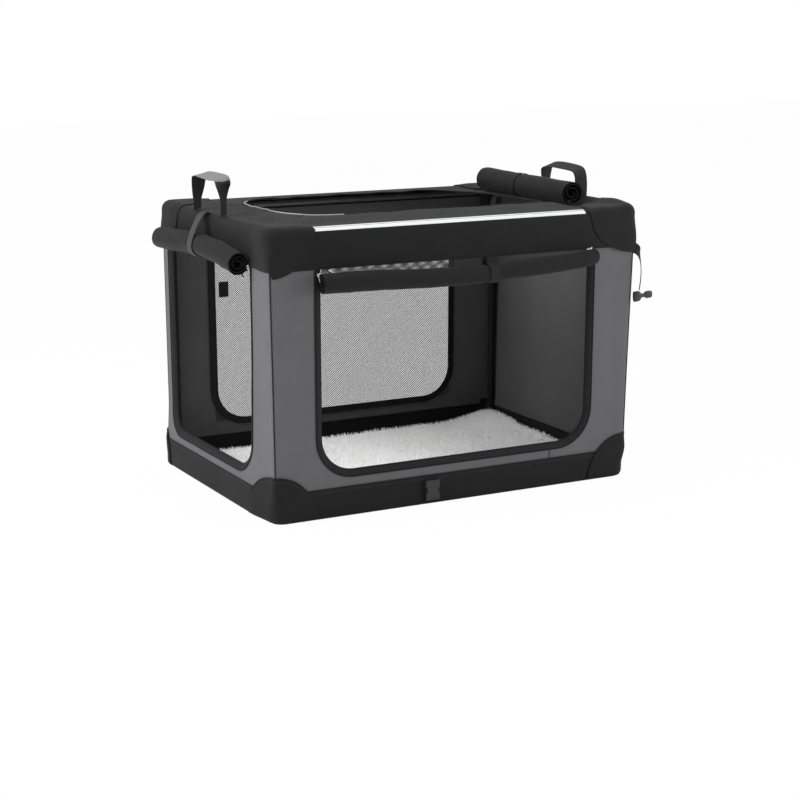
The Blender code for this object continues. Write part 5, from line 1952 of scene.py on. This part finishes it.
# The handles: y, z and the way across the webbing, from the far foot over the grip to the near one
LEFT_GRIP = (
    (0.1165, 0.6290, 0.777, 0.629, 0.0), (0.1155, 0.6400, 0.777, 0.629, 0.0),
    (0.1145, 0.6520, 0.809, 0.588, 0.0), (0.1095, 0.6750, 0.966, 0.259, 0.05),
    (0.1050, 0.6950, 0.995, 0.0, 0.08), (0.1000, 0.7050, 0.98, -0.10, 0.15),
    (0.0850, 0.7100, 0.93, -0.15, 0.25), (0.0590, 0.7105, 0.91, -0.18, 0.33),
    (0.0300, 0.7098, 0.89, -0.20, 0.37), (0.0060, 0.7096, 0.88, -0.22, 0.39),
    (-0.0150, 0.7098, 0.88, -0.28, 0.32), (-0.0280, 0.7080, 0.88, -0.36, 0.20),
    (-0.0345, 0.7000, 0.95, -0.28, 0.06), (-0.0350, 0.6880, 0.96, 0.26, 0.0),
    (-0.0355, 0.6740, 0.82, 0.57, 0.0), (-0.0360, 0.6620, 0.72, 0.69, 0.0),
    (-0.0360, 0.6420, 0.70, 0.71, 0.0), (-0.0350, 0.6290, 0.70, 0.71, 0.0),
)
RIGHT_GRIP = (
    (0.0330, 0.6290, 0.80, 0.60, 0.0), (0.0325, 0.6450, 0.84, 0.54, 0.0),
    (0.0310, 0.6730, 0.95, 0.30, 0.0), (0.0300, 0.6900, 0.98, 0.10, 0.12),
    (0.0240, 0.7010, 0.95, 0.0, 0.28), (0.0080, 0.7055, 0.94, 0.0, 0.34),
    (-0.0220, 0.7070, 0.94, 0.0, 0.34), (-0.0600, 0.7060, 0.94, 0.0, 0.34),
    (-0.0930, 0.7040, 0.95, 0.0, 0.30), (-0.1090, 0.7000, 0.97, 0.0, 0.20),
    (-0.1175, 0.6900, 1.0, 0.0, 0.06), (-0.1205, 0.6780, 1.0, 0.0, 0.0),
    (-0.1220, 0.6600, 1.0, 0.0, 0.0), (-0.1210, 0.6430, 1.0, 0.0, 0.0),
    (-0.1190, 0.6290, 1.0, 0.0, 0.0),
)
LONG_REACH = COVER.straight(Side.FRONT) + HALF_CORNER - 0.5 * MM
END_REACH = COVER.straight(Side.LEFT) + HALF_CORNER - 0.5 * MM


class Crate:
    """The whole crate, built sub-assembly by sub-assembly."""

    def __init__(self) -> None:
        """Starts with no pieces; the lists hold the cloth on the base, the rails and the two ends."""
        self.walls: list[bpy.types.Object] = []
        self.rail_cloth: list[bpy.types.Object] = []
        self.left_cloth: list[bpy.types.Object] = []
        self.right_cloth: list[bpy.types.Object] = []

    def build_walls(self) -> None:
        """The four walls, their trims and the back window."""
        for side, body, opening in (
            (Side.FRONT, Body.BASE, FRONT_DOOR),
            (Side.BACK, Body.BASE, BACK_WINDOW),
            (Side.LEFT, Body.LEFT_END, LEFT_DOOR),
            (Side.RIGHT, Body.RIGHT_END, None),
        ):
            label = side.name.lower()
            reach, sag = (END_REACH, 1.0 * MM) if side.is_end else (LONG_REACH, WallPanel.sag)
            wall = WallPanel(
                f"{label}_cloth_wall", body, (f"{label}_wall",), side, reach, opening=opening, sag=sag
            ).build()
            if body is Body.BASE:
                self.walls.append(wall)
        for name, body, node, side, opening, top in (
            ("front_door_zip", Body.BASE, "front_door_trim", Side.FRONT, FRONT_DOOR, TRIM_TOP),
            ("back_window_binding", Body.BASE, "back_window_trim", Side.BACK, BACK_WINDOW, None),
            ("left_door_zip", Body.LEFT_END, "left_door_trim", Side.LEFT, LEFT_DOOR, TRIM_TOP),
        ):
            trim = ZipTrim(name, body, (node,), side, *opening, top=top).build()
            if body is Body.BASE:
                self.walls += trim
        self.walls.append(self.window_net())
        self.walls += self.corner_seams()

    def window_net(self) -> bpy.types.Object:
        """The net in the back window: a flat sheet that reaches under the binding."""
        (low_x, low_z), (high_x, high_z), _ = BACK_WINDOW
        edge = 10 * MM
        along, height = np.meshgrid(
            np.linspace(low_x + edge, high_x - edge, 25), np.linspace(low_z + edge, high_z - edge, 17)
        )
        slack = 1.5 * MM * ripple(along, height, 0.3, 21, 4)
        points = side_place(Side.BACK, along, height, 5.6 * MM + np.abs(slack))
        net = grid_piece("window_net", points, np.stack([along, height], -1))
        return dress(net, Body.BASE, NET, Slot.BLACK_MESH, ("back_mesh",))

    def corner_seams(self) -> list[bpy.types.Object]:
        """The piped seams where the long walls meet the end walls."""
        made = []
        for number, (side, sign) in enumerate(
            ((Side.FRONT, -1), (Side.FRONT, 1), (Side.BACK, -1), (Side.BACK, 1))
        ):
            height = np.linspace(0.070, 0.598, 60)
            along = np.full(60, sign * (LONG_REACH + 0.5 * MM))
            path = side_place(side, along, height, np.full(60, 3.6 * MM))
            made.append(cord_piece(f"corner_seam_{number}", Body.BASE, path, 1.5 * MM))
        return made

    def build_base(self) -> None:
        """The tray, the base patches and the mat."""
        BaseTray().build()
        for end in (Side.LEFT, Side.RIGHT):
            for long_side in (Side.FRONT, Side.BACK):
                corner = f"{long_side.name.lower()}_{end.name.lower()}"
                end_reach = 0.1006 if long_side is Side.FRONT else 0.0336
                reach = 0.094 if (end, long_side) == (Side.LEFT, Side.FRONT) else 0.1006
                BasePatch(
                    f"base_corner_{corner}", Body.BASE, (f"base_patch_{corner}",), end, long_side, reach,
                    0.105 if long_side is Side.FRONT else 0.088, 1.4 * MM, end_reach=end_reach,
                ).build()
        PlushMat().build()

    def build_top(self) -> None:
        """The top bands, the top patches and the reflective strip."""
        for side, body, pale_to, owner in (
            (Side.FRONT, Body.FRONT_RAIL, -0.40, self.rail_cloth),
            (Side.BACK, Body.BACK_RAIL, -1.0, self.rail_cloth),
            (Side.LEFT, Body.LEFT_END, 1.0, self.left_cloth),
            (Side.RIGHT, Body.RIGHT_END, -1.0, self.right_cloth),
        ):
            label = side.name.lower()
            owner += TopBand(f"{label}_band", body, (f"{label}_top_band",), side, pale_to).build()
        for end, body, owner in (
            (Side.LEFT, Body.LEFT_END, self.left_cloth), (Side.RIGHT, Body.RIGHT_END, self.right_cloth)
        ):
            for long_side in (Side.FRONT, Side.BACK):
                corner = f"{long_side.name.lower()}_{end.name.lower()}"
                near_left = (end, long_side) == (Side.LEFT, Side.FRONT)
                owner += TopPatch(
                    f"top_corner_{corner}", body, (f"top_patch_{corner}",), end, long_side,
                    0.103 if near_left else 0.118, 0.098, 2.4 * MM, step=0.018 if near_left else 0.0,
                ).build()
        self.rail_cloth.append(self.reflective_strip())

    def reflective_strip(self) -> bpy.types.Object:
        """The bright tape along the front, on the rim's rounding, slightly raised on its band."""
        along = np.linspace(-0.360, 0.326, 140)
        climb = np.array([1.38, 1.39, 1.60, 1.91, 1.92])
        rise = np.array([0.15, 0.45, 0.50, 0.45, 0.15]) * MM
        band = TopBand("front_band", Body.FRONT_RAIL, (), Side.FRONT)
        columns, rows = np.meshgrid(along, climb)
        points = band.place(columns, rows)
        turn = (climb - 1) * np.pi / 2
        points[..., 1] -= (rise * np.cos(turn))[:, None]
        points[..., 2] += (rise * np.sin(turn))[:, None]
        uv = np.stack([columns, rows * 0.02], -1)
        strip = grid_piece("reflective_tape", points, uv)
        give_depth(strip, 0.4 * MM)
        return dress(strip, Body.FRONT_RAIL, SILVER, Slot.SILVER_TAPE, ("reflective_strip",))

    def build_rolls(self) -> None:
        """The three rolled doors."""
        RolledDoor(
            "left_door_rolled", Body.LEFT_END, ("left_door_roll",), (-0.480, 0.0, 0.555), (0, 1, 0),
            LEFT_COURSE, start=1.2, waist=0.003, seed=3,
        ).build()
        self.right_cloth.append(RolledDoor(
            "top_door_rolled", Body.RIGHT_END, ("top_door_roll",), (0.377, 0.0, 0.655), (0, 1, 0),
            TOP_COURSE, start=5.4, waist=0.052, seed=8,
        ).build())
        self.rail_cloth.append(RolledDoor(
            "front_door_rolled", Body.FRONT_RAIL, ("front_door_roll",), (0.0, -0.3308, 0.5155), (1, 0, 0),
            FRONT_COURSE, start=3.3, waist=0.067, seed=5,
        ).build())

    def build_details(self) -> None:
        """Zip pulls, the window's tab, the net above the front roll and the sill's mark."""
        for number, (body, place, out, down, length) in enumerate(ZIP_PULLS):
            down = tuple(unit(np.array(down)))
            pull = ZipPull(f"zip_pull_{number}", body, place, out, down, length).build()
            if body is Body.FRONT_RAIL:
                self.rail_cloth.append(pull)
            elif body is Body.RIGHT_END:
                self.right_cloth.append(pull)
        self.walls += [self.window_tab(), self.window_facing(), self.sill_seam()]
        self.lining_hem()
        self.rail_cloth += [self.head_net(), self.toggle_tab()]

    def window_facing(self) -> bpy.types.Object:
        """The black facing round the window on the wall's inner side."""
        trim = ZipTrim("facing", Body.BASE, (), Side.BACK, *BACK_WINDOW)
        steps = ((0.0140, 10.2), (0.0100, 10.4), (0.0040, 10.2), (-0.0010, 9.6), (-0.0015, 8.6))
        points = np.stack([trim.loop(shrink, 4.0 * MM - inset * MM) for shrink, inset in steps])
        around = np.linspace(0, arc_length(points[0], True)[-1], points.shape[1])
        uv = spread(around, np.array(steps)[:, 0])
        facing = grid_piece("window_facing", points, uv, round_columns=True)
        give_depth(facing, 0.8 * MM)
        return dress(facing, Body.BASE, BINDING, Slot.BLACK_CLOTH)

    def lining_hem(self) -> None:
        """The walls' lining where it hangs down a little over the tray's inner side."""
        for side in Side:
            half = COVER.straight(side)
            along, height = np.meshgrid(np.linspace(-half, half, 61), np.linspace(0.0560, 0.0720, 4))
            depth = 7.0 * MM + 0.8 * MM * ripple(along, height, 0.10, 61)
            points = side_place(side, along, height, depth)[::-1]
            hem = grid_piece(f"lining_hem_{side.name.lower()}", points, np.stack([along, height], -1)[::-1])
            give_depth(hem, 0.8 * MM)
            dress(hem, Body.BASE, LINING, Slot.GREY_CLOTH)

    def sill_seam(self) -> bpy.types.Object:
        """The short seam between the front doorway's sill and the tray."""
        height = np.linspace(0.0695, 0.0885, 8)
        path = side_place(Side.FRONT, np.full(8, 0.2412), height, np.full(8, 3.6 * MM))
        return cord_piece("sill_seam", Body.BASE, path, 0.9 * MM, 6)

    def window_tab(self) -> bpy.types.Object:
        """The square webbing tab at the window's upper corner, inside the net."""
        along, height = np.meshgrid(np.linspace(0.2888, 0.3135, 17), np.linspace(0.396, 0.433, 21))
        points = side_place(Side.BACK, along, height, np.full(along.shape, 8.4 * MM))
        tab = grid_piece("window_tab", points, np.stack([along, height], -1))
        give_depth(tab, 1.6 * MM)
        return dress(tab, Body.BASE, BINDING, Slot.BLACK_CLOTH)

    def head_net(self) -> bpy.types.Object:
        """The strip of net between the front band's hem and the rolled door."""
        along, share = np.meshgrid(np.linspace(-0.336, 0.336, 85), np.linspace(0, 1, 9))
        height = 0.5475 - 0.034 * share
        inset = 4.4 * MM - 6.0 * MM * share**1.5 + 0.5 * MM * ripple(along, share * 0.02, 0.12, 51)
        points = side_place(Side.FRONT, along, height, inset)[::-1]
        net = grid_piece("door_head_net", points, np.stack([along, height], -1)[::-1])
        return dress(net, Body.FRONT_RAIL, NET, Slot.BLACK_MESH)

    def toggle_tab(self) -> bpy.types.Object:
        """The short tab of webbing sewn under the front band, over the roll's strap."""
        knots = ((0.0755, -0.3150, 0.5460, 1, 0, 0), (0.0755, -0.3165, 0.5380, 1, 0, 0.05),
                 (0.0750, -0.3205, 0.5320, 1, 0, 0.1), (0.0745, -0.3275, 0.5305, 1, 0, 0.05))
        line = smooth_path(knots, 16)
        return FlatStrap("toggle_webbing", Body.FRONT_RAIL, (), line, 0.028, 1.8 * MM).build()

    def strap_round(
        self, name: str, body: Body, replaces: tuple[str, ...], middle: np.ndarray, up: np.ndarray,
        wall: np.ndarray, radius: float, reach: float,
    ) -> bpy.types.Object:
        """A strap that comes down a wall, goes round a roll and ends behind it.

        Args:
            name: the piece's name.
            body: its body.
            replaces: the nodes that it stands for.
            middle: the roll's middle where the strap crosses it.
            up: the way along the wall from which the strap comes.
            wall: the way from the roll to the wall.
            radius: the roll's radius.
            reach: how far up the wall the strap starts.

        Returns:
            The strap.
        """
        turn = np.radians(np.linspace(28, 340, 60))[:, None]
        out = radius + 1.4 * MM
        circle = middle + out * (np.cos(turn) * wall + np.sin(turn) * up)
        sewn = middle + wall * (radius - 0.4 * MM) + up * reach
        tail = middle + wall * (radius - 0.4 * MM) + up * (reach + radius * 0.6) / 2
        path = np.concatenate([smooth_path([sewn, tail, circle[0]], 14)[:-1], circle])
        line = np.concatenate([path, np.broadcast_to(np.cross(up, wall), path.shape)], 1)
        return FlatStrap(name, body, replaces, line, 0.024, 1.4 * MM).build()

    def build_straps(self) -> None:
        """The roll straps, the handles and the closing strap."""
        x, y, z = np.eye(3)
        FlatStrap(
            "left_roll_webbing", Body.LEFT_END, ("left_roll_strap",), smooth_path(LEFT_STRAP, 80), 0.026,
            1.5 * MM, STRAP_WEBBING,
        ).build()
        self.right_cloth.append(self.strap_round(
            "top_roll_webbing", Body.RIGHT_END, ("top_roll_strap",), np.array([0.377, 0.052, 0.6556]), x, -z,
            0.0260, 0.052,
        ))
        self.rail_cloth.append(self.strap_round(
            "front_roll_webbing", Body.FRONT_RAIL, ("front_roll_strap",), np.array([0.067, -0.3308, 0.5115]),
            z, y, 0.0190, 0.029,
        ))
        # the last number is the height above which a grip's upward faces take the painted highlight; the right
        # grip has none
        for label, body, place, grip, pale_from in (
            ("left", Body.LEFT_HANDLE, -HANDLE_X, LEFT_GRIP, 0.708),
            ("right", Body.RIGHT_HANDLE, HANDLE_X, RIGHT_GRIP, 1.0),
        ):
            CarryHandle(f"{label}_carry_webbing", body, (f"{label}_handle",), place, grip, pale_from).build()
        out = np.array([math.cos(STRAP_TURN), math.sin(STRAP_TURN), 0.0])
        side = np.array([-math.sin(STRAP_TURN), math.cos(STRAP_TURN), 0.0])
        root = np.array(STRAP_ROOT)
        knots = [[*(root + out * o - z * d), *(side * s + z * u)] for o, d, s, u in STRAP_KNOTS]
        line = smooth_path(knots, 60)
        FlatStrap(
            "closing_webbing", Body.CLOSING_STRAP, ("closing_strap",), line, 0.022, 1.6 * MM
        ).build()
        self.closing_clip()

    def closing_clip(self) -> bpy.types.Object:
        """The clip on the closing strap: a wide socket, a waist and a narrower head, lying across."""
        rows = np.array(CLIP_ROWS) * MM
        up, out = rounded_square(24)
        tilt = math.radians(4.0)
        along = np.array([math.cos(tilt), 0.0, math.sin(tilt)])
        rise = np.array([-math.sin(tilt), 0.0, math.cos(tilt)])
        points = np.array([0.486, -0.316, 0.4285]) + rows[:, :1, None] * along
        points = points + (rows[:, 1:2] * up)[..., None] * rise
        points = points + (rows[:, 2:] * out)[..., None] * np.array([0.0, -1.0, 0.0])
        clip = grid_piece("closing_clip", points, round_columns=True, weld=True)
        return dress(clip, Body.CLOSING_STRAP, PLASTIC, Slot.PLASTIC, ("buckle_clip",), flat_angle=50)

    def build_right_end(self) -> None:
        """The storage pocket and its flap on the plain end."""
        for name, body, low, high, radii, out, bulge, node in (
            ("pocket_cloth", Body.RIGHT_END, (-0.190, 0.160), (0.190, 0.400), (0.020, 0.009), 0.0086, 3.0 * MM,
             "right_pocket"),
            ("flap_cloth", Body.FLAP, (-0.195, 0.330), (0.195, 0.421), (0.020, 0.003), 0.0115, 0.6 * MM,
             "pocket_flap"),
        ):
            loop, _ = rounded_loop(low, high, radii, step=8 * MM)
            centre = (np.array(low) + np.array(high)) / 2
            shares = np.array([1.0, 1.0, 0.985, 0.95, 0.85, 0.65, 0.4, 0.2, 0.0])
            rises = np.array([0.0, 0.75, 0.95, 1.0, 1.0, 1.0, 1.0, 1.0, 1.0])
            flat = centre + (loop - centre)[None] * shares[:, None, None]
            swell = bulge * (1 - shares**2) * (0.7 + 0.3 * ripple(flat[..., 0].mean(-1), shares, 0.2, 41))
            depth = 4.0 * MM - out * rises - swell
            inset = np.broadcast_to(depth[:, None], flat.shape[:2])
            points = side_place(Side.RIGHT, flat[..., 0], flat[..., 1], inset)
            piece = grid_piece(name, points, flat, round_columns=True, weld=True)
            give_depth(piece, 1.5 * MM)
            dress(piece, body, GREY_OXFORD, Slot.GREY_CLOTH, (node,))

    def build_sleeves(self) -> None:
        """Black cloth sleeves round the posts of both end hoops."""
        for side_name, x, body, low in (
            ("left", -POST_X, Body.LEFT_END, 0.076), ("right", POST_X, Body.RIGHT_END, 0.052)
        ):
            for depth_name, y in (("front", -POST_Y), ("back", POST_Y)):
                height = np.linspace(low, 0.552, 70)
                path = np.stack([np.full(70, x), np.full(70, y), height], -1)
                radius = 9.1 * MM + 0.4 * MM * ripple(height, height * 0, 0.03, int(x > 0) * 2 + int(y > 0))
                points = tube_points(path, radius, 18, False)
                around = np.arange(18) / 18 * 0.06
                uv = spread(around, height)
                sleeve = grid_piece(f"{side_name}_{depth_name}_sleeve", points, uv, round_columns=True)
                give_depth(sleeve, 0.8 * MM)
                dress(sleeve, body, BINDING, Slot.BLACK_CLOTH, draped=False)

    def let_fold(self) -> None:
        """Gives the cloth on the base, the rails and the two ends its own meshes."""
        squash_all(self.walls)
        squash_all(self.rail_cloth)
        squash_all(self.left_cloth)
        squash_all(self.right_cloth)

    def build(self) -> None:
        """Builds everything in order."""
        self.build_base()
        self.build_walls()
        self.build_top()
        self.build_rolls()
        self.build_straps()
        self.build_details()
        self.build_right_end()
        self.build_sleeves()
        dress_frame()
        self.let_fold()


def main() -> None:
    """Builds the studio and the crate, and reports the pieces."""
    logging.basicConfig(level=logging.INFO, format="%(message)s")
    Studio().build()
    Crate().build()


if __name__ == "__main__":
    main()
